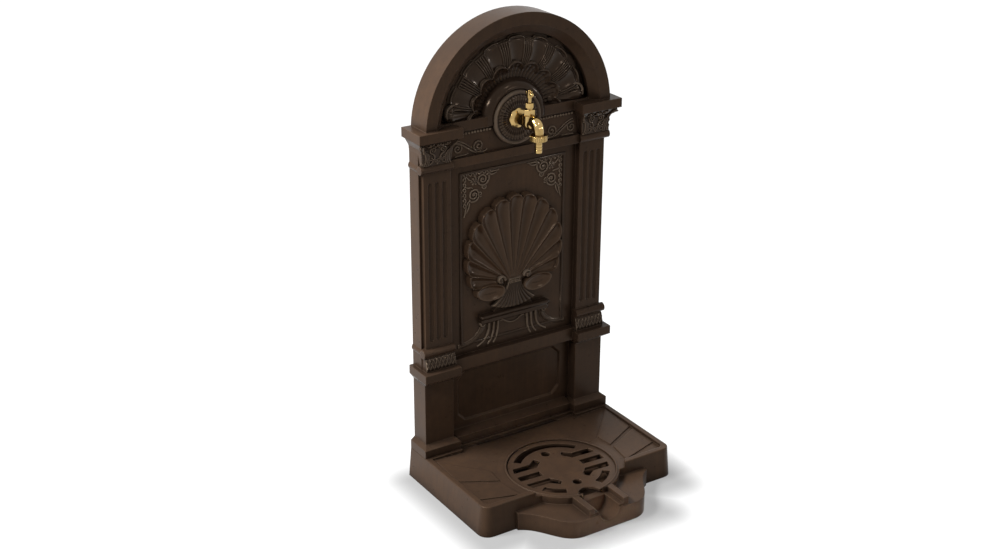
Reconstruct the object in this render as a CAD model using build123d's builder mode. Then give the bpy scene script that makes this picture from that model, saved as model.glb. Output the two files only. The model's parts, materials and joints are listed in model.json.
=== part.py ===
"""Garden fountain: a moulded arched column with a brass bib tap, standing on a tray with a drain grate.

Frame: millimetres, +Z up, the front faces -Y, the origin is at the bottom centre of the whole object.
Depths on the column are measured forward from its flat back.
"""

import os
from math import atan2, cos, degrees, pi, radians, sin, sqrt

from build123d import *

# Overall driving dimensions
BACK = 170.0                # Y of the flat back of the column and of the tray
WALL = 4.0                  # moulded wall
SEAT_GAP = 0.3              # gap around a piece that drops into a recess
RUN = 0.05                  # radial clearance of a running fit

# Tray
TRAY_HALF = 200.0           # half width at the rim
TRAY_HEIGHT = 57.0
TRAY_FRONT = -82.0          # Y of the main front edge at the rim
TRAY_DRAFT = 5.0            # outward growth of the sides at the floor
TRAY_CORNER = 20.0
RIM_WIDTH = 10.0
DECK_MARGIN = 6.0           # level ledge of the tray in front of the column
DECK_THICK = 7.0            # deck under the column
DECK_FALL = 8.0             # fall of the deck from the back corners to the ring
APRON_HEIGHT = 33.0
APRON_FRONT = -170.0
APRON_FLAT = 52.0           # half width of the apron's straight front
APRON_HALF = 139.0
APRON_STEP = 10.0           # square shoulder where the apron leaves the tray
APRON_HOLLOW = (115.0, -112.0)
APRON_SWELL = (94.0, -144.0)
APRON_LEAVE = (-1.0, -0.45)  # direction of the ogee where it leaves the shoulder
RIM_ROUND = 2.0
HOLLOW_TOP = 40.0           # underside of the deck over the hollow tray

# Drain ring, sump and grate
RING_Y = -21.0              # centre of the ring
RING_TOP = 47.0
RING_OUTER = 114.0
BOSS_R = 104.0              # round front of the ring over the apron
GRATE_R = 98.0
GRATE_THICK = 5.0
GRATE_TURN = -3.5           # the grate lies turned a little in its seat, degrees
GRATE_LIFT = 40.0
GRATE_LEDGE = 8.0           # width of the ledge that the grate rests on
SUMP_R = GRATE_R - GRATE_LEDGE
SUMP_FLOOR = 12.0
DRAIN_R = 12.5
PAD_RISE = 2.0              # raised ray panels on the deck
BEAD_RING = 3.0
BEAD_RISE = 1.5
GRATE_TOP = 45.5
SUMP_FLOOR_LOW = 8.0
PAD_SET = 13.0              # from the tray's side to the pads
PAD_REAR_IN, PAD_REAR_Y = ((117.0, 30.0), (121.0, -5.0)), (101.0, 25.0)
PAD_FRONT_IN, PAD_FRONT_Y = ((122.0, -13.0), (114.0, -63.0)), (15.0, -45.0)

# Grate openings
SLOT_WIDE = 15.0
SLOT_PITCH = 28.5
SLOT_OUT = 87.0
PLATE_R = 42.0              # bare centre plate
LEG_WIDE = 11.0
PLATE_LEG = (26.0, 44.0)    # end of the slots that bend round the plate
ARC_IN = 73.0
ARC_SLOTS = ((40, 140), (216, 246), (294, 324))
FINGER_R = 8.5
FINGER_OFFSET = 55.0
NOTCH_R = 21.0

# Overflow channel
CHANNEL_IN = 31.0
CHANNEL_OUT = 42.0
CHANNEL_START = -119.0
CHANNEL_END = -166.0
CHANNEL_FLOOR = 37.0
TROUGH_R = 22.0
TROUGH_START = -128.0
TROUGH_FALL = 6.0

# Column: how far each stage stands back from the tray's sides, and how wide the pilasters are there
COLUMN_SET, LEAF_SET, ROLL_SET, SHAFT_SET, BELL_SET, ARCH_SET = 8.0, 9.0, 5.5, 13.0, 10.0, 12.0
ABACUS_OUT = 6.0            # overhang of the abacus beyond the tray's sides
PLINTH_WIDE, PED_WIDE, CAP_WIDE, LEAF_WIDE, ROLL_WIDE = 74.0, 59.0, 73.5, 61.0, 63.5
SHAFT_WIDE, ABACUS_WIDE, BELL_WIDE = 53.5, 84.0, 55.0

# Column: levels and depths
BODY_DEPTH = 30.0
PLINTH_TOP, PLINTH_DEPTH = 78.0, 53.0
PLINTH_EDGE = 72.0          # the plinth's bevelled top starts here
SKIRT_DEPTH = 39.0
PED_TOP, PED_DEPTH = 196.0, 41.0
CAP_LOW, CAP_TOP, CAP_DEPTH = 208.0, 224.0, 58.5
LEAF_TOP, LEAF_DEPTH = 250.0, 46.0
LEAF_LIP = 3.0
ROLL_LAP = 0.6              # the half-round mouldings sink this far into their neighbours
FOOT_TOP, FOOT_DEPTH = 265.0, 46.5
SHAFT_DEPTH = 38.0
FLUTE_PITCH, FLUTE_R, FLUTE_LOW, FLUTE_TOP = 14.0, 4.5, 282.0, 568.0
FLUTE_DEEP = 3.0
NECK_LOW, NECK_TOP, NECK_DEPTH = 591.0, 605.0, 45.0
ABACUS_LOW, ABACUS_TOP, ABACUS_DEPTH = 650.5, 667.0, 61.5
ABACUS_LIP = 4.0            # overhang of the abacus over the bell
BELL_DEPTH = 41.0
BELL_MID, BELL_SWELL = 634.0, 3.0
ARCH_Z, ARCH_DEPTH = 656.0, 51.0
BAND_WIDE, STEP_WIDE = 21.0, 15.0   # the arch's flat band and the cove inside it
STEP_DEPTH = 37.0
FIELD_DEPTH = 22.0          # tympanum behind the fan
LEDGE_LOW, LEDGE_TOP, LEDGE_DEPTH = 652.0, 670.0, 36.0
FRIEZE_DEPTH = 32.0
BEAM_LOW, BEAM_TOP, BEAM_DEPTH = 590.0, 606.0, 38.0
PANEL_DEPTH = 26.0
SILL_LOW, SILL_TOP, SILL_DEPTH = 206.0, 230.0, 40.0
RAIL_DEPTH = 20.0           # frame round the lower panel
LOWER_SET, LOWER_LOW, LOWER_TOP, LOWER_CANT, LOWER_DEPTH = 21.0, 91.0, 192.0, 15.0, 16.5
LOWER_SLOPE = 2.5           # width of the slope round the lower panel
FRAME_SET, FRAME_LOW, FRAME_TOP, FRAME_R = 23.5, 247.0, 574.0, 2.0

# Scallop shell, console and fan
SHELL_Z = 360.0             # hub of the scallop
SHELL_LOBES = 15
SHELL_TOP = 155.0           # hub to the tip of the middle lobe
SHELL_SIDE = 89.0           # hub to the tip of a level lobe
SHELL_EAR = 75.0            # how fast the reach falls off below the hub
SHELL_STEP = 11.2           # degrees between lobes near the top
SHELL_WIDEN = 0.5           # extra degrees per lobe towards the ears
SHELL_DENT = 0.94           # reach of the dent between two lobes
SHELL_WALL = 7.0            # rise of the scallop's edge off the panel
SHELL_FLOOR = 2.0           # floor of the dish above the panel
SHELL_LIP = 2.0
TAIL_NECK, TAIL_WAIST, TAIL_LOW, TAIL_HALF, TAIL_RISE = 17.0, 24.0, 300.0, 42.0, 4.0
CONSOLE_LOW, CONSOLE_HIGH, CONSOLE_HALF, CONSOLE_DEPTH = 287.0, 300.0, 70.0, 38.0
FAN_R, FAN_DEPTH = 142.0, 27.0
FAN_LOBES = 9
FAN_DENT = 0.95
RUFFLE_R = 88.0             # hollow inside the fan
ROSE_R, ROSE_DEPTH = 47.0, 39.8
ROSE_RIM = 6.0
ROSE_DISH = 0.8

# Hollow of the column and its rear cover
COVER_SET, COVER_LOW, COVER_THICK = 8.0, 70.0, 3.0
COVER_LEDGE = 7.0
HOLLOW_DEPTH = 18.0
LOW_HOLLOW = 10.5           # depth of the hollow behind the lower panel
POCKET_DEPTH = 31.0
FLOOR_TOP = 67.0            # floor of the hollow under the riser
ROSE_POCKET_R, ROSE_POCKET_DEPTH = 38.0, 34.0
CHASE_HALF, CHASE_LOW, CHASE_TOP, CHASE_DEPTH = 30.0, 648.0, 668.0, 28.0
BOSS_POST_R = 8.0
COVER_SCREW_R, COVER_SCREW_LEN, COVER_HEAD_R, COVER_HEAD = 2.0, 14.0, 4.0, 2.0
COVER_POST_SET, COVER_POST_LEVELS = 15.5, (100.0, 330.0, 560.0)
CROWN_POST_X, CROWN_POST_Z = 96.0, 766.0

# Bolts between tray and column
BOLT_R, BOLT_LEN, BOLT_AF, BOLT_HEAD = 3.0, 24.0, 10.0, 4.0
BOLT_SET = 14.0             # from the plinth's ends to the bolts
BOLT_DEPTH = 36.0
BOLT_TIP = 76.0             # blind end of the bolt holes
WASHER_R, WASHER_THICK = 6.5, 1.6
BOLT_HOLE_R = 3.3

# Tap
TAP_Z = 659.0
VALVE_Y = 95.0              # vertical axis of the valve
SPOUT_Y = 66.0              # vertical axis of the outlet
TAIL_R = 10.45              # half inch pipe thread
HOLE_R = 10.8
COLLAR_R, COLLAR_THICK, COLLAR_EDGE = 18.0, 8.0, 2.5
COLLAR_DOME, COLLAR_DOME_R, COLLAR_TOP_R = 5.6, 15.4, 11.5
COLLAR_FACETS, COLLAR_FLAT_R = 8, 17.2
BARREL_R = 9.5
CHAMBER_R, CHAMBER_TOP = 11.5, 674.0
CHAMBER_BORE = 8.6
BELLY_R, BELLY_STEP = 10.0, 9.0     # swelling between the valve and the spout
WATERWAY_R = 5.0
SEAT_Z, SEAT_R, SEAT_DROP = 664.0, 4.2, 2.0
SPOUT_R, SPOUT_HIGH, SPOUT_KNEE, SPOUT_BEND = 8.0, 666.0, 657.0, 17.0
OUTLET_R = 13.2             # three quarter inch pipe thread
OUTLET_LOW, OUTLET_TOP = 641.0, 646.5
BONNET_AF, BONNET_TOP, BONNET_NECK, BONNET_NECK_R, BONNET_SPIGOT = 18.0, 687.0, 3.0, 6.5, 3.0
GLAND_AF, GLAND_TOP = 13.0, 695.0
PACKING_R, PACKING_TALL = 5.6, 4.0
SPINDLE_R, SPINDLE_TOP = 3.5, 713.0
SPINDLE_COLLAR_R, SPINDLE_THREAD = 5.0, 8.0
HANDLE_TURN = 80.0         # direction of the crutch at rest, degrees from +X
HANDLE_SPAN = 19.0          # between the centres of the end balls
HANDLE_BALL = 3.6
HANDLE_BAR = 2.4
HANDLE_HUB_R, HANDLE_LOW, HANDLE_TOP = 5.0, 704.0, 716.0
HANDLE_Z = 711.0            # axis of the crutch
SCREW_R, SCREW_HEAD_R, SCREW_HEAD, SCREW_DEEP = 1.5, 2.6, 1.6, 8.0
JUMPER_R, JUMPER_DISC, JUMPER_STEM_R, JUMPER_STEM, JUMPER_GAP = 6.8, 2.4, 2.5, 5.0, 2.0
VALVE_LIFT = 4.0
DISC_THICK = 3.0            # rubber valve washer

# Hose union
NUT_R, NUT_TOP, NUT_LIP, NUT_EDGE = 15.2, 645.8, 1.8, 0.8
KNURLS, KNURL_DEEP, KNURL_WIDE = 30, 1.4, 1.2
HOSE_R, HOSE_BORE, HOSE_LOW = 6.3, 4.2, 615.0
HOSE_FLANGE_R, HOSE_FLANGE = 12.4, 1.4
UNION_WASHER = 1.4
HOSE_BARBS = 4
BARB_RISE = 0.7

# Supply inside the column
BACKNUT_AF, BACKNUT_THICK = 30.0, 6.0
FIBRE_R, FIBRE_THICK = 16.0, 1.5
ELBOW_R, ELBOW_BACK, ELBOW_STOP = 13.5, 6.0, 8.0
PIPE_R, PIPE_WALL, PIPE_BEND = 5.0, 1.0, 30.0
PIPE_DEPTH = 18.0
SOCKET_R, SOCKET_LEN = 6.4, 10.0
PIPE_NUT_AF, PIPE_NUT_LEN = 15.0, 12.0
OLIVE_LEN = 3.0
INLET_R = 8.33              # three eighths inch pipe thread
INLET_LOW, INLET_LEN = 22.0, 18.0
SHANK_R = 9.5               # the inlet's shank through the tray
INLET_FLANGE_R, INLET_FLANGE = 12.5, 4.0
INLET_SOCKET_TOP = 92.0
LOCKNUT_AF, LOCKNUT_THICK = 24.0, 6.0
HOSE_NOTCH = 22.0           # way for the supply hose through the tray's back wall

# Places that follow from the sizes
PLINTH_HALF = TRAY_HALF
CAP_HALF = TRAY_HALF
COLUMN_HALF = TRAY_HALF - COLUMN_SET
LEAF_OUT = TRAY_HALF - LEAF_SET
ROLL_OUT = TRAY_HALF - ROLL_SET
SHAFT_OUT = TRAY_HALF - SHAFT_SET
BELL_OUT = TRAY_HALF - BELL_SET
ABACUS_HALF = TRAY_HALF + ABACUS_OUT
PLINTH_IN = PLINTH_HALF - PLINTH_WIDE
PED_IN = COLUMN_HALF - PED_WIDE
CAP_IN = CAP_HALF - CAP_WIDE
LEAF_IN = LEAF_OUT - LEAF_WIDE
ROLL_IN = ROLL_OUT - ROLL_WIDE
SHAFT_IN = SHAFT_OUT - SHAFT_WIDE
BELL_IN = BELL_OUT - BELL_WIDE
ABACUS_IN = ABACUS_HALF - ABACUS_WIDE
ARCH_R = TRAY_HALF - ARCH_SET
BAND_R = ARCH_R - BAND_WIDE
STEP_R = BAND_R - STEP_WIDE
LOWER_HALF = PED_IN - LOWER_SET
FRAME_HALF = SHAFT_IN - FRAME_SET
COVER_HALF = ARCH_R - COVER_SET
COVER_POST_X = SHAFT_IN - COVER_POST_SET
PAD_OUT = TRAY_HALF - PAD_SET
RISER_X = (SHAFT_IN + SHAFT_OUT) / 2
BOLT_PLACES = [side * x for side in (-1, 1) for x in (PLINTH_IN + BOLT_SET, PLINTH_HALF - BOLT_SET)]
RING_AXIS = Axis((0, RING_Y, 0), (0, 0, 1))
DECK_FAR = 260.0            # beyond the tray's corners, seen from the ring
DECK_BACK = BACK - PLINTH_DEPTH - DECK_MARGIN
SKIRT_FRONT = BACK - SKIRT_DEPTH - DECK_MARGIN
DECK_UNDER = TRAY_HEIGHT - DECK_THICK
ROSE_FACE = ROSE_DEPTH - ROSE_DISH
TAIL_END = ELBOW_BACK + ELBOW_STOP      # depth of the tail's end inside the elbow
COLLAR_LOW = SEAT_Z + DISC_THICK + JUMPER_DISC + JUMPER_GAP     # bottom of the spindle's threaded collar
COLLAR_HIGH = COLLAR_LOW + SPINDLE_THREAD
SHOULDER = COLLAR_HIGH + VALVE_LIFT + SEAT_GAP                  # the bonnet stops the collar here
FLANGE_TOP = OUTLET_LOW - UNION_WASHER
FLANGE_LOW = FLANGE_TOP - HOSE_FLANGE
BACKNUT_REAR = ROSE_POCKET_DEPTH - FIBRE_THICK - BACKNUT_THICK
SOCKET_END = ELBOW_R + SOCKET_LEN
PIPE_FOOT = INLET_SOCKET_TOP - SOCKET_LEN
INLET_Y = BACK - PIPE_DEPTH
COVER_POSTS = [(side * COVER_POST_X, z) for z in COVER_POST_LEVELS for side in (-1, 1)]
COVER_POSTS += [(side * CROWN_POST_X, CROWN_POST_Z) for side in (-1, 1)]

os.makedirs("parts", exist_ok=True)


def block(x0, x1, z0, z1, d0, d1, mode=Mode.ADD):
    """Box between two X values, two levels and two depths in front of the back."""
    middle = ((x0 + x1) / 2, BACK - (d0 + d1) / 2, (z0 + z1) / 2)
    with Locations(middle):
        Box(x1 - x0, abs(d1 - d0), z1 - z0, mode=mode)


def pair(x0, x1, z0, z1, depth, mode=Mode.ADD, start=0.0):
    """The same block on the right and on the left of the column."""
    block(x0, x1, z0, z1, start, depth, mode)
    block(-x1, -x0, z0, z1, start, depth, mode)


def drum(x, z, r, d0, d1, mode=Mode.ADD):
    """Round boss or hole along Y between two depths."""
    with Locations(Location((x, BACK - (d0 + d1) / 2, z), (90, 0, 0))):
        Cylinder(r, abs(d1 - d0), mode=mode)


def post(x, y, r, z0, z1, mode=Mode.ADD):
    """Upright cylinder between two levels."""
    with Locations((x, y, (z0 + z1) / 2)):
        Cylinder(r, z1 - z0, mode=mode)


def roll(side, x_out, x_in, z, r, depth):
    """Half-round moulding that runs along the front of a pilaster and back along its outer side."""
    long_x = x_out - x_in
    with Locations(Location((side * (x_out + x_in) / 2, BACK - depth + r, z), (0, 90, 0))):
        Cylinder(r, long_x)
    with Locations(Location((side * (x_out - r), BACK - (depth - r) / 2, z), (90, 0, 0))):
        Cylinder(r, depth - r)
    edges = sorted((side * x_in, side * (x_out - r)))
    block(edges[0], edges[1], z - r, z + r, 0, depth - r)


def front_plane(depth):
    """Sketch plane that faces the viewer: sketch X is X, sketch Y is Z."""
    return Plane(origin=(0, BACK - depth, 0), x_dir=(1, 0, 0), z_dir=(0, -1, 0))


def arch_face(r, low, depth):
    """Half disc of the arch with straight legs down to a level."""
    with BuildSketch(front_plane(depth)) as face:
        with Locations((0, ARCH_Z)):
            Circle(r)
        with Locations((0, ARCH_Z - r / 2)):
            Rectangle(2 * r, r, mode=Mode.SUBTRACT)
        with Locations((0, (ARCH_Z + low) / 2)):
            Rectangle(2 * r, ARCH_Z - low)
    return face.sketch


def flare(side, x_in, x_out, depth, z, x_in2, x_out2, depth2, z2):
    """Straight-sided flare between two rectangles that both reach back to the column's back."""
    faces = []
    for inner, outer, deep, level in ((x_in, x_out, depth, z), (x_in2, x_out2, depth2, z2)):
        with BuildSketch(Plane.XY.offset(level)) as face:
            with Locations((side * (inner + outer) / 2, BACK - deep / 2)):
                Rectangle(outer - inner, deep)
        faces.append(face.sketch)
    loft(faces, ruled=True)


def polar(r, angle, centre_z):
    """Point at a reach and an angle from straight up, on a front sketch."""
    return (r * sin(angle), centre_z + r * cos(angle))


def shell_reach(angle):
    """Reach of the scallop from its hub: longest straight up, shorter towards the ears below."""
    rise = SHELL_TOP - SHELL_SIDE
    return SHELL_SIDE + rise * max(cos(angle), 0.0) ** 1.4 + SHELL_EAR * min(cos(angle), 0.0)


def shell_lobe(k):
    """Angle of the middle of lobe k from straight up; lobes widen towards the ears."""
    return radians(SHELL_STEP * k + SHELL_WIDEN * k * abs(k))


def lobed_edge(points, dents, centre_z):
    """Chain of arcs through lobe tips, meeting in dents."""
    for tip, start, end in zip(points, dents[:-1], dents[1:]):
        ThreePointArc(polar(*start, centre_z), polar(*tip, centre_z), polar(*end, centre_z))


def shell_face(depth, inset):
    """Outline of the scallop, drawn in by an inset."""
    side = SHELL_LOBES // 2
    tips = [shell_lobe(k) for k in range(-side, side + 1)]
    joints = [shell_lobe(k - 0.5) for k in range(-side, side + 2)]
    tip_points = [(shell_reach(t) - inset, t) for t in tips]
    dent_points = [((shell_reach(t) - inset) * SHELL_DENT, t) for t in joints]
    with BuildSketch(front_plane(depth)) as face:
        with BuildLine():
            lobed_edge(tip_points, dent_points, SHELL_Z)
            Line(polar(*dent_points[-1], SHELL_Z), polar(*dent_points[0], SHELL_Z))
        make_face()
    return face.sketch


def fan_face(depth, reach, lobes):
    """Half fan with a lobed edge, standing on the ledge."""
    step = pi / lobes
    tips = [(reach, -pi / 2 + step * (k + 0.5)) for k in range(lobes)]
    dents = [(reach * FAN_DENT, -pi / 2 + step * k) for k in range(lobes + 1)]
    with BuildSketch(front_plane(depth)) as face:
        with BuildLine():
            lobed_edge(tips, dents, LEDGE_TOP)
            Line(polar(*dents[-1], LEDGE_TOP), polar(*dents[0], LEDGE_TOP))
        make_face()
    return face.sketch


with BuildPart() as column_shell:
    block(-COLUMN_HALF, COLUMN_HALF, PLINTH_TOP, ARCH_Z, 0, BODY_DEPTH)
    # arch with its stepped band and the tympanum behind the fan
    extrude(arch_face(ARCH_R, ABACUS_LOW, 0), amount=ARCH_DEPTH)
    with BuildSketch(front_plane(STEP_DEPTH)) as step_low:
        with Locations((0, ARCH_Z)):
            Circle(STEP_R)
    with BuildSketch(front_plane(ARCH_DEPTH)) as step_high:
        with Locations((0, ARCH_Z)):
            Circle(BAND_R)
    loft([step_low.sketch, step_high.sketch], mode=Mode.SUBTRACT)
    extrude(arch_face(STEP_R, ABACUS_LOW, FIELD_DEPTH), amount=ARCH_DEPTH, mode=Mode.SUBTRACT)
    # plinths, pedestals, pilasters and capitals
    pair(PLINTH_IN, PLINTH_HALF, TRAY_HEIGHT, PLINTH_EDGE, PLINTH_DEPTH)
    block(-PLINTH_IN, PLINTH_IN, TRAY_HEIGHT, PLINTH_EDGE, 0, SKIRT_DEPTH)
    flare(1, -PLINTH_IN, PLINTH_IN, SKIRT_DEPTH, PLINTH_EDGE, -PLINTH_IN, PLINTH_IN, RAIL_DEPTH, PLINTH_TOP)
    for side in (-1, 1):
        flare(side, PLINTH_IN, PLINTH_HALF, PLINTH_DEPTH, PLINTH_EDGE, PED_IN, COLUMN_HALF, PED_DEPTH, PLINTH_TOP)
        flare(side, PED_IN, COLUMN_HALF, PED_DEPTH, PED_TOP, CAP_IN, CAP_HALF, CAP_DEPTH, CAP_LOW)
        flare(side, LEAF_IN, LEAF_OUT, LEAF_DEPTH, CAP_TOP,
              SHAFT_IN, SHAFT_OUT + LEAF_LIP, SHAFT_DEPTH + LEAF_LIP, LEAF_TOP)
        foot_r = (FOOT_TOP - LEAF_TOP) / 2 + ROLL_LAP
        roll(side, ROLL_OUT, ROLL_IN, (LEAF_TOP + FOOT_TOP) / 2, foot_r, FOOT_DEPTH)
        neck_r = (NECK_TOP - NECK_LOW) / 2 + ROLL_LAP
        roll(side, ROLL_OUT, ROLL_IN, (NECK_LOW + NECK_TOP) / 2, neck_r, NECK_DEPTH)
        flare(side, BELL_IN, BELL_OUT, BELL_DEPTH, NECK_TOP,
              BELL_IN - BELL_SWELL, BELL_OUT + BELL_SWELL, BELL_DEPTH + BELL_SWELL, BELL_MID)
        flare(side, BELL_IN - BELL_SWELL, BELL_OUT + BELL_SWELL, BELL_DEPTH + BELL_SWELL, BELL_MID,
              ABACUS_IN + ABACUS_LIP, ABACUS_HALF - ABACUS_LIP, ABACUS_DEPTH - ABACUS_LIP, ABACUS_LOW)
    pair(PED_IN, COLUMN_HALF, PLINTH_TOP, PED_TOP, PED_DEPTH)
    pair(CAP_IN, CAP_HALF, CAP_LOW, CAP_TOP, CAP_DEPTH)
    pair(SHAFT_IN, SHAFT_OUT, LEAF_TOP, NECK_TOP, SHAFT_DEPTH)
    pair(ABACUS_IN, ABACUS_HALF, ABACUS_LOW, ABACUS_TOP, ABACUS_DEPTH)
    block(-SHAFT_IN, SHAFT_IN, BEAM_TOP, LEDGE_LOW, 0, FRIEZE_DEPTH)
    block(-STEP_R, STEP_R, LEDGE_LOW, LEDGE_TOP, 0, LEDGE_DEPTH)
    block(-SHAFT_IN, SHAFT_IN, BEAM_LOW, BEAM_TOP, 0, BEAM_DEPTH)
    # main panel, sill and lower panel
    block(-SHAFT_IN, SHAFT_IN, SILL_TOP, BEAM_LOW, PANEL_DEPTH, BODY_DEPTH, Mode.SUBTRACT)
    block(-PED_IN, PED_IN, SILL_LOW, SILL_TOP, 0, SILL_DEPTH)
    block(-PED_IN, PED_IN, PLINTH_TOP, SILL_LOW, RAIL_DEPTH, BODY_DEPTH, Mode.SUBTRACT)
    lower_faces = []
    for depth, inset in ((LOWER_DEPTH, LOWER_SLOPE), (RAIL_DEPTH, 0.0)):
        with BuildSketch(front_plane(depth)) as lower_panel:
            with Locations((0, (LOWER_LOW + LOWER_TOP) / 2)):
                Rectangle(2 * (LOWER_HALF - inset), LOWER_TOP - LOWER_LOW - 2 * inset)
            chamfer(lower_panel.vertices(), LOWER_CANT)
        lower_faces.append(lower_panel.sketch)
    loft(lower_faces, ruled=True, mode=Mode.SUBTRACT)
    with BuildSketch(front_plane(PANEL_DEPTH)) as bead_frame:
        with Locations((0, (FRAME_LOW + FRAME_TOP) / 2)):
            Rectangle(2 * FRAME_HALF, FRAME_TOP - FRAME_LOW)
            Rectangle(2 * FRAME_HALF - 4 * FRAME_R, FRAME_TOP - FRAME_LOW - 4 * FRAME_R, mode=Mode.SUBTRACT)
    extrude(bead_frame.sketch, amount=FRAME_R)
    # scallop, its reeded tail and the console under it
    extrude(shell_face(PANEL_DEPTH, 0), amount=SHELL_WALL)
    extrude(shell_face(PANEL_DEPTH + SHELL_FLOOR, SHELL_LIP), amount=SHELL_WALL, mode=Mode.SUBTRACT)
    with BuildSketch(front_plane(PANEL_DEPTH)) as shell_tail:
        with BuildLine():
            tail_middle = (SHELL_Z + TAIL_LOW) / 2
            tail_edge = Spline((TAIL_NECK, SHELL_Z), (TAIL_WAIST, tail_middle), (TAIL_HALF, TAIL_LOW))
            mirror(tail_edge, Plane.YZ)
            Line((-TAIL_NECK, SHELL_Z), (TAIL_NECK, SHELL_Z))
            Line((-TAIL_HALF, TAIL_LOW), (TAIL_HALF, TAIL_LOW))
        make_face()
    extrude(shell_tail.sketch, amount=TAIL_RISE)
    block(-CONSOLE_HALF, CONSOLE_HALF, CONSOLE_LOW, CONSOLE_HIGH, PANEL_DEPTH, CONSOLE_DEPTH)
    # fan, the hollow inside its ruffled edge and the rosette round the tap
    extrude(fan_face(FIELD_DEPTH, FAN_R, FAN_LOBES), amount=FAN_DEPTH - FIELD_DEPTH)
    extrude(fan_face(FIELD_DEPTH, RUFFLE_R, FAN_LOBES), amount=FAN_DEPTH - FIELD_DEPTH, mode=Mode.SUBTRACT)
    drum(0, TAP_Z, ROSE_R, FRIEZE_DEPTH - ROSE_DISH, ROSE_DEPTH)
    drum(0, TAP_Z, ROSE_R - ROSE_RIM, ROSE_DEPTH - ROSE_DISH, ROSE_DEPTH, Mode.SUBTRACT)
    # flutes of the pilasters
    flute_middle = (SHAFT_IN + SHAFT_OUT) / 2
    for x in (-flute_middle, flute_middle):
        for k in (-1, 0, 1):
            flute_x = x + k * FLUTE_PITCH
            flute_y = BACK - SHAFT_DEPTH - FLUTE_R + FLUTE_DEEP
            post(flute_x, flute_y, FLUTE_R, FLUTE_LOW, FLUTE_TOP, Mode.SUBTRACT)
            with Locations((flute_x, flute_y, FLUTE_LOW), (flute_x, flute_y, FLUTE_TOP)):
                Sphere(FLUTE_R, mode=Mode.SUBTRACT)
    # hollow, seat of the rear cover, posts for its screws
    cover_seat = arch_face(COVER_HALF + SEAT_GAP, COVER_LOW - SEAT_GAP, 0)
    extrude(cover_seat, amount=COVER_THICK, mode=Mode.SUBTRACT)
    extrude(arch_face(COVER_HALF - COVER_LEDGE, SILL_LOW, 0), amount=HOLLOW_DEPTH, mode=Mode.SUBTRACT)
    block(COVER_LEDGE - COVER_HALF, COVER_HALF - COVER_LEDGE, COVER_LOW + COVER_LEDGE, SILL_LOW, 0, LOW_HOLLOW,
          Mode.SUBTRACT)
    pair(SHAFT_IN + WALL, SHAFT_OUT - WALL, FLOOR_TOP, CHASE_TOP, POCKET_DEPTH, Mode.SUBTRACT, COVER_THICK)
    block(-CHASE_HALF, SHAFT_OUT - WALL, CHASE_LOW, CHASE_TOP, 0, CHASE_DEPTH, Mode.SUBTRACT)
    drum(0, TAP_Z, ROSE_POCKET_R, 0, ROSE_POCKET_DEPTH, Mode.SUBTRACT)
    for x, z in COVER_POSTS:
        drum(x, z, BOSS_POST_R, COVER_THICK, HOLLOW_DEPTH)
        drum(x, z, COVER_SCREW_R + RUN, COVER_THICK, COVER_SCREW_LEN + RUN, Mode.SUBTRACT)
    # holes for the tap, the inlet and the bolts
    drum(0, TAP_Z, HOLE_R, 0, ROSE_DEPTH + WALL, Mode.SUBTRACT)
    post(RISER_X, BACK - PIPE_DEPTH, SHANK_R + SEAT_GAP, TRAY_HEIGHT, FLOOR_TOP, Mode.SUBTRACT)
    for x in BOLT_PLACES:
        post(x, BACK - BOLT_DEPTH, BOLT_R + RUN, TRAY_HEIGHT, BOLT_TIP, Mode.SUBTRACT)
column_shell.part.label = "column_shell"
export_step(column_shell.part, "parts/column_shell.step")


def ring_section(points):
    """Solid of revolution about the upright axis of the drain ring."""
    with BuildSketch(Plane(origin=(0, RING_Y, 0), x_dir=(1, 0, 0), z_dir=(0, -1, 0))) as section:
        with BuildLine():
            Polyline(*points, close=True)
        make_face()
    return section.sketch


def deck_level(r, rise):
    """Height of the sloping deck at a distance from the ring's centre."""
    return RING_TOP + rise + DECK_FALL * (r - RING_OUTER) / (DECK_FAR - RING_OUTER)


with BuildPart() as deck_cut:
    with BuildSketch(Plane.XY.offset(APRON_HEIGHT)) as deck_region:
        with Locations((0, (TRAY_FRONT + RIM_WIDTH + DECK_BACK) / 2)):
            Rectangle(2 * (TRAY_HALF - RIM_WIDTH), DECK_BACK - TRAY_FRONT - RIM_WIDTH)
        fillet(deck_region.vertices().group_by(Axis.Y)[0], TRAY_CORNER - RIM_WIDTH)
        with Locations((0, (DECK_BACK + SKIRT_FRONT) / 2)):
            Rectangle(2 * PLINTH_IN, SKIRT_FRONT - DECK_BACK)
    extrude(amount=TRAY_HEIGHT)
    over_deck = ring_section(((RING_OUTER, deck_level(RING_OUTER, 0)), (DECK_FAR, deck_level(DECK_FAR, 0)),
                              (DECK_FAR, 2 * TRAY_HEIGHT), (RING_OUTER, 2 * TRAY_HEIGHT)))
    revolve(over_deck, RING_AXIS, mode=Mode.INTERSECT)

with BuildPart() as ray_pads:
    with BuildSketch(Plane.XY.offset(APRON_HEIGHT)) as pad_region:
        for inner, outer in ((PAD_REAR_IN, PAD_REAR_Y), (PAD_FRONT_IN, PAD_FRONT_Y)):
            with BuildLine():
                Polyline(inner[0], (PAD_OUT, outer[0]), (PAD_OUT, outer[1]), inner[1], close=True)
            make_face()
        mirror(about=Plane.YZ)
    extrude(amount=TRAY_HEIGHT)
    under_pads = ring_section(((RING_OUTER, APRON_HEIGHT), (DECK_FAR, APRON_HEIGHT),
                               (DECK_FAR, deck_level(DECK_FAR, PAD_RISE)),
                               (RING_OUTER, deck_level(RING_OUTER, PAD_RISE))))
    revolve(under_pads, RING_AXIS, mode=Mode.INTERSECT)

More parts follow.
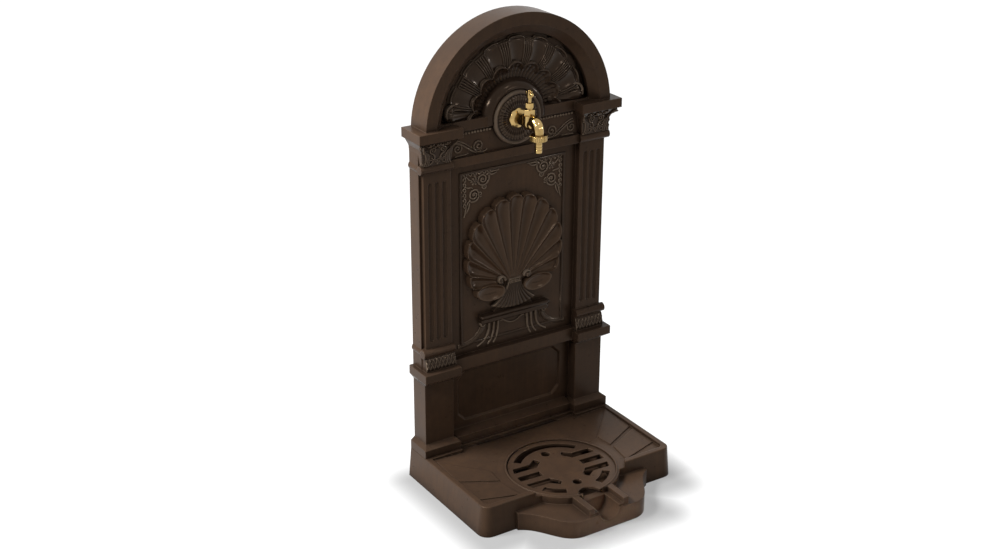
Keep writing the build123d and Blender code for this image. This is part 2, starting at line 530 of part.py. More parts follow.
with BuildPart() as tray_hollow:
    with Locations((0, (TRAY_FRONT + BACK) / 2, HOLLOW_TOP / 2)):
        Box(2 * (TRAY_HALF - WALL), BACK - TRAY_FRONT - 2 * WALL, HOLLOW_TOP)
    block(WALL - TRAY_HALF, TRAY_HALF - WALL, 0, TRAY_HEIGHT - DECK_THICK, WALL, PLINTH_DEPTH - WALL)
    post(0, RING_Y, SUMP_R + WALL, 0, TRAY_HEIGHT, Mode.SUBTRACT)
    with Locations((0, RING_Y, SUMP_FLOOR_LOW / 2)):
        Cylinder(SUMP_R - WALL, SUMP_FLOOR_LOW)
    post(0, RING_Y, DRAIN_R + WALL, 0, SUMP_FLOOR_LOW, Mode.SUBTRACT)

with BuildPart() as base_tray:
    with BuildSketch() as tray_foot:
        with Locations((0, (TRAY_FRONT - TRAY_DRAFT + BACK + TRAY_CORNER) / 2)):
            Rectangle(2 * (TRAY_HALF + TRAY_DRAFT), BACK + TRAY_CORNER - TRAY_FRONT + TRAY_DRAFT)
        fillet(tray_foot.vertices().group_by(Axis.Y)[0], TRAY_CORNER)
    extrude(amount=TRAY_HEIGHT, taper=degrees(atan2(TRAY_DRAFT, TRAY_HEIGHT)))
    fillet(base_tray.faces().sort_by(Axis.Z)[-1].edges(), RIM_ROUND)
    block(-2 * TRAY_HALF, 2 * TRAY_HALF, 0, TRAY_HEIGHT, -2 * TRAY_CORNER, 0, Mode.SUBTRACT)
    with BuildSketch() as apron:
        with BuildLine():
            ogee = Spline((APRON_HALF, TRAY_FRONT - APRON_STEP), APRON_HOLLOW, APRON_SWELL,
                          (APRON_FLAT, APRON_FRONT), tangents=(APRON_LEAVE, (-1, 0)))
            Line((APRON_HALF, TRAY_FRONT + RIM_WIDTH), ogee @ 0)
            Line(ogee @ 1, (0, APRON_FRONT))
            Line((0, APRON_FRONT), (0, TRAY_FRONT + RIM_WIDTH))
            Line((0, TRAY_FRONT + RIM_WIDTH), (APRON_HALF, TRAY_FRONT + RIM_WIDTH))
        make_face()
        mirror(about=Plane.YZ)
    extrude(amount=APRON_HEIGHT)
    post(0, RING_Y, BOSS_R, 0, RING_TOP)
    with Locations((0, (CHANNEL_END + RING_Y) / 2, RING_TOP / 2)):
        Box(2 * CHANNEL_OUT, RING_Y - CHANNEL_END, RING_TOP)
    add(deck_cut.part, mode=Mode.SUBTRACT)
    add(ray_pads.part)
    post(0, RING_Y, RING_OUTER, RING_TOP, 2 * TRAY_HEIGHT, Mode.SUBTRACT)
    bead = ring_section(((GRATE_R + SEAT_GAP, GRATE_TOP), (GRATE_R + BEAD_RING, GRATE_TOP),
                         (GRATE_R + BEAD_RING, RING_TOP + BEAD_RISE),
                         (GRATE_R + SEAT_GAP, RING_TOP + BEAD_RISE)))
    revolve(bead, RING_AXIS)
    post(0, RING_Y, GRATE_R + SEAT_GAP, GRATE_TOP - GRATE_THICK, TRAY_HEIGHT, Mode.SUBTRACT)
    post(0, RING_Y, SUMP_R, SUMP_FLOOR, TRAY_HEIGHT, Mode.SUBTRACT)
    post(0, RING_Y, DRAIN_R, 0, SUMP_FLOOR, Mode.SUBTRACT)
    # overflow channel: open end at the ring, level ledges, half-round trough that falls to the front
    with Locations((0, (APRON_FRONT + CHANNEL_START) / 2, CHANNEL_FLOOR + RING_TOP)):
        Box(2 * CHANNEL_IN, CHANNEL_START - APRON_FRONT, 2 * RING_TOP, mode=Mode.SUBTRACT)
    with Locations((0, (CHANNEL_START + RING_Y) / 2, CHANNEL_FLOOR + RING_TOP)):
        Box(2 * NOTCH_R, RING_Y - CHANNEL_START, 2 * RING_TOP, mode=Mode.SUBTRACT)
    trough_long = TROUGH_START - APRON_FRONT
    tilt = degrees(atan2(TROUGH_FALL, trough_long))
    trough_middle = (0, APRON_FRONT + trough_long / 2, CHANNEL_FLOOR - TROUGH_FALL / 2)
    with Locations(Location(trough_middle, (90 - tilt, 0, 0))):
        Cylinder(TROUGH_R, trough_long + TROUGH_FALL, mode=Mode.SUBTRACT)
    add(tray_hollow.part, mode=Mode.SUBTRACT)
    # way in for the supply hose, holes for the inlet and the bolts
    block(RISER_X - HOSE_NOTCH / 2, RISER_X + HOSE_NOTCH / 2, 0, HOSE_NOTCH, -1, 2 * WALL, Mode.SUBTRACT)
    post(RISER_X, BACK - PIPE_DEPTH, SHANK_R + SEAT_GAP, 0, TRAY_HEIGHT, Mode.SUBTRACT)
    for x in BOLT_PLACES:
        post(x, BACK - BOLT_DEPTH, BOLT_HOLE_R, 0, TRAY_HEIGHT, Mode.SUBTRACT)
base_tray.part.label = "base_tray"
export_step(base_tray.part, "parts/base_tray.step")

grate_way = (cos(radians(GRATE_TURN)), sin(radians(GRATE_TURN)), 0)
grate_plane = Plane(origin=(0, RING_Y, GRATE_TOP), x_dir=grate_way, z_dir=(0, 0, 1))
with BuildPart() as drain_grate:
    with BuildSketch(grate_plane):
        Circle(GRATE_R)
    extrude(amount=-GRATE_THICK)
    with BuildSketch(grate_plane) as slots:
        with GridLocations(2 * SLOT_OUT, SLOT_PITCH, 2, 3):
            Rectangle(2 * SLOT_OUT - 2 * SLOT_WIDE, SLOT_WIDE)
        Circle(SLOT_OUT, mode=Mode.INTERSECT)
        Circle(PLATE_R, mode=Mode.SUBTRACT)
        leg_x, leg_y = PLATE_LEG
        row_x = sqrt(PLATE_R ** 2 - SLOT_PITCH ** 2) + SLOT_WIDE
        for sx in (-1, 1):
            for sy in (-1, 1):
                angle = degrees(atan2(sy * (leg_y - SLOT_PITCH), sx * (leg_x - row_x)))
                leg_middle = (sx * (leg_x + row_x) / 2, sy * (leg_y + SLOT_PITCH) / 2, 0)
                with Locations(Location(leg_middle, (0, 0, angle))):
                    Rectangle(sqrt((leg_y - SLOT_PITCH) ** 2 + (leg_x - row_x) ** 2), LEG_WIDE)
    extrude(amount=-GRATE_THICK, mode=Mode.SUBTRACT)
    with BuildSketch(grate_plane):
        for start, end in ARC_SLOTS:
            with BuildLine():
                outer = CenterArc((0, 0), SLOT_OUT, start, end - start)
                inner = CenterArc((0, 0), ARC_IN, start, end - start)
                Line(outer @ 0, inner @ 0)
                Line(outer @ 1, inner @ 1)
            make_face()
        with Locations((0, FINGER_OFFSET), (0, -FINGER_OFFSET)):
            Circle(FINGER_R)
        with Locations((0, -GRATE_R)):
            Circle(NOTCH_R)
    extrude(amount=-GRATE_THICK, mode=Mode.SUBTRACT)
drain_grate.part.label = "drain_grate"
export_step(drain_grate.part, "parts/drain_grate.step")

with BuildPart() as rear_cover:
    extrude(arch_face(COVER_HALF, COVER_LOW, 0), amount=COVER_THICK)
    for x, z in COVER_POSTS:
        drum(x, z, COVER_SCREW_R + SEAT_GAP, 0, COVER_THICK, Mode.SUBTRACT)
        with Locations(Location((x, BACK - COVER_HEAD / 2, z), (-90, 0, 0))):
            Cone(COVER_SCREW_R + SEAT_GAP, COVER_HEAD_R + SEAT_GAP, COVER_HEAD, mode=Mode.SUBTRACT)
rear_cover.part.label = "rear_cover"
export_step(rear_cover.part, "parts/rear_cover.step")

with BuildPart() as rear_cover_screws:
    for x, z in COVER_POSTS:
        drum(x, z, COVER_SCREW_R, COVER_HEAD, COVER_SCREW_LEN)
        with Locations(Location((x, BACK - COVER_HEAD / 2, z), (-90, 0, 0))):
            Cone(COVER_SCREW_R, COVER_HEAD_R, COVER_HEAD)
        with Locations((x, BACK, z)):
            Box(COVER_HEAD_R, COVER_HEAD / 2, COVER_HEAD / 2, mode=Mode.SUBTRACT)
rear_cover_screws.part.label = "rear_cover_screws"
export_step(rear_cover_screws.part, "parts/rear_cover_screws.step")

with BuildPart() as column_base_washers:
    for x in BOLT_PLACES:
        post(x, BACK - BOLT_DEPTH, WASHER_R, DECK_UNDER - WASHER_THICK, DECK_UNDER)
        post(x, BACK - BOLT_DEPTH, BOLT_HOLE_R, DECK_UNDER - WASHER_THICK, DECK_UNDER, Mode.SUBTRACT)
column_base_washers.part.label = "column_base_washers"
export_step(column_base_washers.part, "parts/column_base_washers.step")


def hex_bar(x, y, flats, z0, z1):
    """Upright hexagon across its flats, with two flats facing front and back."""
    with BuildSketch(Plane.XY.offset(z0)) as hexagon:
        with Locations((x, y)):
            RegularPolygon(flats / 2, 6, major_radius=False)
    extrude(hexagon.sketch, amount=z1 - z0)


with BuildPart() as column_base_bolts:
    for x in BOLT_PLACES:
        bolt_y = BACK - BOLT_DEPTH
        head_top = DECK_UNDER - WASHER_THICK
        post(x, bolt_y, BOLT_R, head_top, head_top + BOLT_LEN)
        hex_bar(x, bolt_y, BOLT_AF, head_top - BOLT_HEAD, head_top)
column_base_bolts.part.label = "column_base_bolts"
export_step(column_base_bolts.part, "parts/column_base_bolts.step")


def turned(points, z):
    """Section of a piece turned about a level axis along Y: pairs of depth and radius."""
    with BuildSketch(Plane.YZ) as section:
        with BuildLine():
            Polyline(*[(BACK - depth, z + r) for depth, r in points], close=True)
        make_face()
    return section.sketch


with BuildPart() as tap_wall_flange:
    revolve(turned(((ROSE_FACE, TAIL_R + RUN), (ROSE_FACE, COLLAR_R), (ROSE_FACE + COLLAR_EDGE, COLLAR_R),
                    (ROSE_FACE + COLLAR_DOME, COLLAR_DOME_R), (ROSE_FACE + COLLAR_THICK, COLLAR_TOP_R),
                    (ROSE_FACE + COLLAR_THICK, TAIL_R + RUN)), TAP_Z), Axis((0, 0, TAP_Z), (0, 1, 0)))
    for k in range(COLLAR_FACETS):
        angle = 360 * (k + 0.5) / COLLAR_FACETS
        away = COLLAR_FLAT_R + COLLAR_R
        facet = (away * cos(radians(angle)), BACK - ROSE_FACE, TAP_Z + away * sin(radians(angle)))
        with Locations(Location(facet, (0, -angle, 0))):
            Box(2 * COLLAR_R, 2 * COLLAR_THICK, 2 * COLLAR_R, mode=Mode.SUBTRACT)
tap_wall_flange.part.label = "tap_wall_flange"
export_step(tap_wall_flange.part, "parts/tap_wall_flange.step")


def spout_path(start):
    """Centre line of the spout in the plane of the tap: a falling run that bends straight down."""
    slope = (SPOUT_HIGH - SPOUT_KNEE) / (VALVE_Y - SPOUT_Y)
    with BuildLine(Plane.YZ) as path:
        high = (start, SPOUT_KNEE + slope * (start - SPOUT_Y))
        FilletPolyline(high, (SPOUT_Y, SPOUT_KNEE), (SPOUT_Y, OUTLET_LOW), radius=SPOUT_BEND)
    return path.line


def spout_bar(r, start, mode):
    """Round bar along the spout's centre line."""
    path = spout_path(start)
    with BuildSketch(Plane(origin=path @ 0, z_dir=path % 0)) as section:
        Circle(r)
    sweep(section.sketch, path=path, mode=mode)


with BuildPart() as tap_body:
    drum(0, TAP_Z, TAIL_R, TAIL_END, ROSE_FACE + COLLAR_THICK)
    drum(0, TAP_Z, BARREL_R, ROSE_FACE + COLLAR_THICK, BACK - VALVE_Y)
    post(0, VALVE_Y, CHAMBER_R, TAP_Z, CHAMBER_TOP)
    with Locations((0, VALVE_Y, TAP_Z)):
        Sphere(CHAMBER_R)
    with Locations((0, VALVE_Y - BELLY_STEP, TAP_Z)):
        Sphere(BELLY_R)
    spout_bar(SPOUT_R, VALVE_Y, Mode.ADD)
    post(0, SPOUT_Y, OUTLET_R, OUTLET_LOW, OUTLET_TOP)
    drum(0, TAP_Z, WATERWAY_R, TAIL_END, BACK - VALVE_Y + SEAT_R, Mode.SUBTRACT)
    post(0, VALVE_Y, SEAT_R, TAP_Z - SEAT_DROP, SEAT_Z, Mode.SUBTRACT)
    post(0, VALVE_Y, CHAMBER_BORE, SEAT_Z, CHAMBER_TOP, Mode.SUBTRACT)
    spout_bar(SEAT_R, VALVE_Y - CHAMBER_BORE, Mode.SUBTRACT)
tap_body.part.label = "tap_body"
export_step(tap_body.part, "parts/tap_body.step")


with BuildPart() as tap_bonnet:
    hex_bar(0, VALVE_Y, BONNET_AF, CHAMBER_TOP, BONNET_TOP - BONNET_NECK)
    post(0, VALVE_Y, BONNET_NECK_R, BONNET_TOP - BONNET_NECK, BONNET_TOP)
    post(0, VALVE_Y, CHAMBER_BORE - RUN, CHAMBER_TOP - BONNET_SPIGOT, CHAMBER_TOP)
    post(0, VALVE_Y, JUMPER_R + SEAT_GAP, CHAMBER_TOP - BONNET_SPIGOT, CHAMBER_TOP, Mode.SUBTRACT)
    post(0, VALVE_Y, SPINDLE_COLLAR_R + RUN, CHAMBER_TOP, SHOULDER, Mode.SUBTRACT)
    post(0, VALVE_Y, SPINDLE_R + RUN, SHOULDER, BONNET_TOP, Mode.SUBTRACT)
tap_bonnet.part.label = "tap_bonnet"
export_step(tap_bonnet.part, "parts/tap_bonnet.step")

with BuildPart() as gland_packing:
    post(0, VALVE_Y, PACKING_R, BONNET_TOP, BONNET_TOP + PACKING_TALL)
    post(0, VALVE_Y, SPINDLE_R + RUN, BONNET_TOP, BONNET_TOP + PACKING_TALL, Mode.SUBTRACT)
gland_packing.part.label = "gland_packing"
export_step(gland_packing.part, "parts/gland_packing.step")

with BuildPart() as gland_nut:
    hex_bar(0, VALVE_Y, GLAND_AF, BONNET_TOP, GLAND_TOP)
    post(0, VALVE_Y, PACKING_R + RUN, BONNET_TOP, BONNET_TOP + PACKING_TALL, Mode.SUBTRACT)
    post(0, VALVE_Y, SPINDLE_R + RUN, BONNET_TOP, GLAND_TOP, Mode.SUBTRACT)
gland_nut.part.label = "gland_nut"
export_step(gland_nut.part, "parts/gland_nut.step")

with BuildPart() as tap_spindle:
    post(0, VALVE_Y, SPINDLE_COLLAR_R, COLLAR_LOW, COLLAR_HIGH)
    post(0, VALVE_Y, SPINDLE_R, COLLAR_HIGH, SPINDLE_TOP)
    post(0, VALVE_Y, JUMPER_STEM_R + RUN, COLLAR_LOW, COLLAR_LOW + JUMPER_STEM, Mode.SUBTRACT)
    post(0, VALVE_Y, SCREW_R + RUN, SPINDLE_TOP - SCREW_DEEP, SPINDLE_TOP, Mode.SUBTRACT)
tap_spindle.part.label = "tap_spindle"
export_step(tap_spindle.part, "parts/tap_spindle.step")

with BuildPart() as valve_jumper:
    post(0, VALVE_Y, JUMPER_R, SEAT_Z + DISC_THICK, SEAT_Z + DISC_THICK + JUMPER_DISC)
    post(0, VALVE_Y, JUMPER_STEM_R, SEAT_Z + DISC_THICK + JUMPER_DISC, COLLAR_LOW + JUMPER_STEM - SEAT_GAP)
valve_jumper.part.label = "valve_jumper"
export_step(valve_jumper.part, "parts/valve_jumper.step")

with BuildPart() as valve_washer:
    post(0, VALVE_Y, JUMPER_R - SEAT_GAP, SEAT_Z, SEAT_Z + DISC_THICK)
valve_washer.part.label = "valve_washer"
export_step(valve_washer.part, "parts/valve_washer.step")

handle_way = (cos(radians(HANDLE_TURN)), sin(radians(HANDLE_TURN)), 0)
handle_square = (handle_way[1], -handle_way[0], 0)
handle_plane = Plane(origin=(0, VALVE_Y, HANDLE_Z), x_dir=handle_way, z_dir=handle_square)
with BuildPart() as tap_handle:
    with BuildSketch(handle_plane) as crutch:
        with BuildLine():
            ball_x = HANDLE_SPAN / 2
            ball_start = ball_x - sqrt(HANDLE_BALL ** 2 - HANDLE_BAR ** 2)
            Polyline((ball_x + HANDLE_BALL, 0), (0, 0), (0, HANDLE_BAR), (ball_start, HANDLE_BAR))
            ThreePointArc((ball_start, HANDLE_BAR), (ball_x, HANDLE_BALL), (ball_x + HANDLE_BALL, 0))
        make_face()
        mirror(about=Plane.YZ)
    revolve(crutch.sketch, Axis((0, VALVE_Y, HANDLE_Z), handle_way))
    post(0, VALVE_Y, HANDLE_HUB_R, HANDLE_LOW, HANDLE_TOP)
    post(0, VALVE_Y, SPINDLE_R + RUN, HANDLE_LOW, SPINDLE_TOP, Mode.SUBTRACT)
    post(0, VALVE_Y, SCREW_R + RUN, SPINDLE_TOP, HANDLE_TOP, Mode.SUBTRACT)
tap_handle.part.label = "tap_handle"
export_step(tap_handle.part, "parts/tap_handle.step")

with BuildPart() as handle_screw:
    post(0, VALVE_Y, SCREW_R, SPINDLE_TOP - SCREW_DEEP + SEAT_GAP, HANDLE_TOP)
    with Locations((0, VALVE_Y, HANDLE_TOP)):
        Cylinder(SCREW_HEAD_R, SCREW_HEAD, align=(Align.CENTER, Align.CENTER, Align.MIN))
    fillet(handle_screw.edges().sort_by(Axis.Z)[-1], SCREW_HEAD / 2)
handle_screw.part.label = "handle_screw"
export_step(handle_screw.part, "parts/handle_screw.step")

with BuildPart() as union_washer:
    post(0, SPOUT_Y, HOSE_FLANGE_R, FLANGE_TOP, OUTLET_LOW)
    post(0, SPOUT_Y, HOSE_BORE, FLANGE_TOP, OUTLET_LOW, Mode.SUBTRACT)
union_washer.part.label = "union_washer"
export_step(union_washer.part, "parts/union_washer.step")

with BuildPart() as hose_tail:
    post(0, SPOUT_Y, HOSE_FLANGE_R, FLANGE_LOW, FLANGE_TOP)
    post(0, SPOUT_Y, HOSE_R, HOSE_LOW, FLANGE_LOW)
    barb_long = (FLANGE_LOW - NUT_LIP - HOSE_LOW - BARB_RISE) / HOSE_BARBS
    for k in range(HOSE_BARBS):
        with Locations((0, SPOUT_Y, HOSE_LOW + barb_long * (k + 0.5))):
            Cone(HOSE_R - BARB_RISE / 2, HOSE_R + BARB_RISE, barb_long)
    post(0, SPOUT_Y, HOSE_BORE, HOSE_LOW, FLANGE_TOP, Mode.SUBTRACT)
hose_tail.part.label = "hose_tail"
export_step(hose_tail.part, "parts/hose_tail.step")

with BuildPart() as union_nut:
    post(0, SPOUT_Y, NUT_R, FLANGE_LOW - NUT_LIP, NUT_TOP)
    chamfer(union_nut.edges().filter_by(GeomType.CIRCLE), NUT_EDGE)
    post(0, SPOUT_Y, OUTLET_R + RUN, FLANGE_LOW, NUT_TOP, Mode.SUBTRACT)
    post(0, SPOUT_Y, HOSE_R + BARB_RISE + SEAT_GAP, FLANGE_LOW - NUT_LIP, FLANGE_LOW, Mode.SUBTRACT)
    with Locations((0, SPOUT_Y, (FLANGE_LOW - NUT_LIP + NUT_TOP) / 2)):
        with PolarLocations(NUT_R, KNURLS):
            Box(KNURL_DEEP, KNURL_WIDE, NUT_TOP - FLANGE_LOW + NUT_LIP, mode=Mode.SUBTRACT)
union_nut.part.label = "union_nut"
export_step(union_nut.part, "parts/union_nut.step")

with BuildPart() as tap_fibre_washer:
    drum(0, TAP_Z, FIBRE_R, ROSE_POCKET_DEPTH - FIBRE_THICK, ROSE_POCKET_DEPTH)
    drum(0, TAP_Z, TAIL_R + RUN, ROSE_POCKET_DEPTH - FIBRE_THICK, ROSE_POCKET_DEPTH, Mode.SUBTRACT)
tap_fibre_washer.part.label = "tap_fibre_washer"
export_step(tap_fibre_washer.part, "parts/tap_fibre_washer.step")

with BuildPart() as tap_backnut:
    with BuildSketch(front_plane(BACKNUT_REAR)):
        with Locations((0, TAP_Z)):
            RegularPolygon(BACKNUT_AF / 2, 6, major_radius=False)
            Circle(TAIL_R + RUN, mode=Mode.SUBTRACT)
    extrude(amount=BACKNUT_THICK)
tap_backnut.part.label = "tap_backnut"
export_step(tap_backnut.part, "parts/tap_backnut.step")


def level_bar(r, x0, x1, mode=Mode.ADD):
    """Round bar along X on the axis of the supply pipe."""
    with Locations(Location(((x0 + x1) / 2, BACK - PIPE_DEPTH, TAP_Z), (0, 90, 0))):
        Cylinder(r, x1 - x0, mode=mode)


with BuildPart() as supply_elbow:
    drum(0, TAP_Z, ELBOW_R, ELBOW_BACK, BACKNUT_REAR)
    level_bar(SOCKET_R, 0, SOCKET_END)
    drum(0, TAP_Z, TAIL_R + RUN, TAIL_END, BACKNUT_REAR, Mode.SUBTRACT)
    drum(0, TAP_Z, WATERWAY_R, ELBOW_BACK + WALL, TAIL_END, Mode.SUBTRACT)
    level_bar(PIPE_R - PIPE_WALL, 0, ELBOW_R, Mode.SUBTRACT)
    level_bar(PIPE_R + RUN, ELBOW_R, SOCKET_END, Mode.SUBTRACT)
supply_elbow.part.label = "supply_elbow"
export_step(supply_elbow.part, "parts/supply_elbow.step")

with BuildPart() as pipe_olive:
    level_bar(SOCKET_R, SOCKET_END, SOCKET_END + OLIVE_LEN)
    level_bar(PIPE_R + RUN, SOCKET_END, SOCKET_END + OLIVE_LEN, Mode.SUBTRACT)
pipe_olive.part.label = "pipe_olive"
export_step(pipe_olive.part, "parts/pipe_olive.step")

with BuildPart() as pipe_nut:
    nut_start = SOCKET_END + OLIVE_LEN + NUT_LIP - PIPE_NUT_LEN
    with BuildSketch(Plane(origin=(nut_start, BACK - PIPE_DEPTH, TAP_Z), x_dir=(0, 1, 0), z_dir=(1, 0, 0))):
        RegularPolygon(PIPE_NUT_AF / 2, 6, major_radius=False, rotation=30)
    extrude(amount=PIPE_NUT_LEN)
    level_bar(SOCKET_R + RUN, nut_start, SOCKET_END + OLIVE_LEN, Mode.SUBTRACT)
    level_bar(PIPE_R + RUN, nut_start, nut_start + PIPE_NUT_LEN, Mode.SUBTRACT)
pipe_nut.part.label = "pipe_nut"
export_step(pipe_nut.part, "parts/pipe_nut.step")

with BuildLine() as pipe_path:
    FilletPolyline((ELBOW_R, BACK - PIPE_DEPTH, TAP_Z), (RISER_X, BACK - PIPE_DEPTH, TAP_Z),
                   (RISER_X, BACK - PIPE_DEPTH, PIPE_FOOT), radius=PIPE_BEND)
with BuildPart() as riser_pipe:
    with BuildSketch(Plane(origin=pipe_path.line @ 0, z_dir=pipe_path.line % 0)) as pipe_section:
        Circle(PIPE_R)
        Circle(PIPE_R - PIPE_WALL, mode=Mode.SUBTRACT)
    sweep(pipe_section.sketch, path=pipe_path.line)
riser_pipe.part.label = "riser_pipe"
export_step(riser_pipe.part, "parts/riser_pipe.step")

with BuildPart() as inlet_connector:
    post(RISER_X, INLET_Y, INLET_R, INLET_LOW, INLET_LOW + INLET_LEN)
    post(RISER_X, INLET_Y, SHANK_R, INLET_LOW + INLET_LEN, FLOOR_TOP)
    post(RISER_X, INLET_Y, INLET_FLANGE_R, FLOOR_TOP, FLOOR_TOP + INLET_FLANGE)
    post(RISER_X, INLET_Y, SOCKET_R, FLOOR_TOP + INLET_FLANGE, INLET_SOCKET_TOP)
    post(RISER_X, INLET_Y, PIPE_R - PIPE_WALL, INLET_LOW, PIPE_FOOT, Mode.SUBTRACT)
    post(RISER_X, INLET_Y, PIPE_R + RUN, PIPE_FOOT, INLET_SOCKET_TOP, Mode.SUBTRACT)
inlet_connector.part.label = "inlet_connector"
export_step(inlet_connector.part, "parts/inlet_connector.step")

with BuildPart() as inlet_locknut:
    hex_bar(RISER_X, INLET_Y, LOCKNUT_AF, DECK_UNDER - LOCKNUT_THICK, DECK_UNDER)
    post(RISER_X, INLET_Y, SHANK_R + RUN, DECK_UNDER - LOCKNUT_THICK, DECK_UNDER, Mode.SUBTRACT)
inlet_locknut.part.label = "inlet_locknut"
export_step(inlet_locknut.part, "parts/inlet_locknut.step")
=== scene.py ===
# %% [markdown]
# # A garden fountain
# A dark brown moulded column with an arched top carries a brass bib tap over a scallop shell.
# It stands on a tray with a round drain grate. The CAD model is the fixed frame: its solids are
# loaded first, and everything made here is carving, finish, light and camera, in metres.

# %% Load the CAD frame
import json

import bpy
import numpy as np
from mathutils import Matrix


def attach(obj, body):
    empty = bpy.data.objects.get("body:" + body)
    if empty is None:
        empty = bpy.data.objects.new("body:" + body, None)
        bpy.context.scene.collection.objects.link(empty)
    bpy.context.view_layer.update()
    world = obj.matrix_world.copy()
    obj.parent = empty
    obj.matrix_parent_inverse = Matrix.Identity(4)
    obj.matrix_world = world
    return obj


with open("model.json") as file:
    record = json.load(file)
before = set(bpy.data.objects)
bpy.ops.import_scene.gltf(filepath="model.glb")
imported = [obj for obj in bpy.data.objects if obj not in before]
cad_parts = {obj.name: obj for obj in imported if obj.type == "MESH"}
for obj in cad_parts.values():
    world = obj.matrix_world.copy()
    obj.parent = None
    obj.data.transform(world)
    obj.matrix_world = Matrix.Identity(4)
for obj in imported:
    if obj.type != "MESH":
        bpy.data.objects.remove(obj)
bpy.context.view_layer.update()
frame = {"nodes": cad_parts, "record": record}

scene = bpy.context.scene
scene.view_settings.view_transform = "Standard"
nodes = frame["nodes"]
BODY = "fountain"
BACK = 170.0

# %% [markdown]
# The camera was fitted to the photograph: it stands to the left of the fountain and above it, and
# looks down at about 23 degrees. A camera looks along its own -Z axis with +Y up, so its matrix is
# built from three directions: right, up and backwards.

# %% Camera
YAW, PITCH, ROLL = np.radians([32.856, 23.323, 0.259])
CAMERA_PLACE = (-1.4036, -1.9893, 1.4629)
FOCAL_PIXELS = 1550.5
FRAME_PIXELS = 1000.0
SENSOR = 36.0
forward = np.array([np.sin(YAW) * np.cos(PITCH), np.cos(YAW) * np.cos(PITCH), -np.sin(PITCH)])
level_right = np.array([np.cos(YAW), -np.sin(YAW), 0.0])
level_up = np.cross(level_right, forward)
right = level_right * np.cos(ROLL) + level_up * np.sin(ROLL)
up = level_up * np.cos(ROLL) - level_right * np.sin(ROLL)

lens = bpy.data.cameras.new("camera")
lens.sensor_fit = "HORIZONTAL"
lens.sensor_width = SENSOR
lens.lens = FOCAL_PIXELS / FRAME_PIXELS * SENSOR
lens.clip_start = 0.05
camera = bpy.data.objects.new("camera", lens)
scene.collection.objects.link(camera)
pose = np.eye(4)
pose[:3, 0], pose[:3, 1], pose[:3, 2] = right, up, -forward
pose[:3, 3] = CAMERA_PLACE
camera.matrix_world = Matrix(pose.tolist())
scene.camera = camera
print("camera lens", round(lens.lens, 2), "mm")

# %% [markdown]
# Studio light could be one bright sky, but then the carving would look flat. So one large soft lamp
# stands high on the left and brightens the left sides and the level tops, as in the photograph. Small
# weak lamps round the front lift the panels and give the carving its glints, and a very weak one near
# the ground reaches the front of the tray.

# %% Lamps


def soft_lamp(name, place, target, size, power, spread=180.0):
    """Square area lamp at a place, turned so that its -Z axis points at the target."""
    lamp = bpy.data.lights.new(name, "AREA")
    lamp.shape = "SQUARE"
    lamp.size = size
    lamp.energy = power
    lamp.spread = np.radians(spread)
    holder = bpy.data.objects.new(name, lamp)
    scene.collection.objects.link(holder)
    away = np.array(place, float) - np.array(target, float)
    away = away / np.linalg.norm(away)
    side = np.cross((0.0, 0.0, 1.0), away)
    side = side / np.linalg.norm(side)
    turn = np.eye(4)
    turn[:3, 0], turn[:3, 1], turn[:3, 2] = side, np.cross(away, side), away
    turn[:3, 3] = place
    holder.matrix_world = Matrix(turn.tolist())
    return holder


soft_lamp("lamp_left", (-2.08, 0.62, 2.62), (0.0, 0.0, 0.4), 1.0, 164.0)
soft_lamp("lamp_front", (-1.8, -0.5, 1.7), (0.0, 0.1, 0.5), 0.35, 14.0)
soft_lamp("lamp_right", (1.1, -2.4, 1.4), (0.0, 0.0, 0.4), 0.2, 3.5)
soft_lamp("lamp_middle", (-0.1, -2.8, 1.5), (0.0, 0.0, 0.4), 0.2, 2.0)
soft_lamp("lamp_glint_high", (0.3, -1.4, 2.8), (0.0, 0.1, 0.5), 0.2, 6.0)
soft_lamp("lamp_glint_side", (1.9, -0.8, 0.9), (0.0, 0.1, 0.5), 0.2, 5.0)
soft_lamp("lamp_low", (0.2, -1.6, 0.1), (0.0, -0.17, -0.04), 0.16, 0.12, 7.0)
print("lamps", len(bpy.data.lights))

# %% [markdown]
# The floor and the world show white to the camera, in reflections and through glass, and are darker
# for the light that they scatter. So the background stays white without more light on the object.

# %% World


def shown_switch(tree):
    """Mask that is 1 for what the camera sees directly, in a reflection or through glass."""
    ray = tree.nodes.new("ShaderNodeLightPath")
    mask = ray.outputs["Is Camera Ray"]
    for title in ("Is Glossy Ray", "Is Transmission Ray"):
        both = tree.nodes.new("ShaderNodeMath")
        both.operation = "MAXIMUM"
        tree.links.new(mask, both.inputs[0])
        tree.links.new(ray.outputs[title], both.inputs[1])
        mask = both.outputs[0]
    return mask


world = bpy.data.worlds.new("studio")
scene.world = world
world.use_nodes = True
wn, wl = world.node_tree.nodes, world.node_tree.links
wn.clear()
level = wn.new("ShaderNodeMapRange")
level.inputs["To Min"].default_value = 0.04
level.inputs["To Max"].default_value = 1.0
wl.new(shown_switch(world.node_tree), level.inputs["Value"])
sky = wn.new("ShaderNodeBackground")
sky.inputs["Color"].default_value = (1.0, 1.0, 1.0, 1.0)
wl.new(level.outputs["Result"], sky.inputs["Strength"])
world_out = wn.new("ShaderNodeOutputWorld")
wl.new(sky.outputs[0], world_out.inputs["Surface"])
print("world made")

# %% [markdown]
# The floor is one large square. It scatters a warm light of its own colour, and is a dark grey to the
# camera, so that little is added to its white glow.

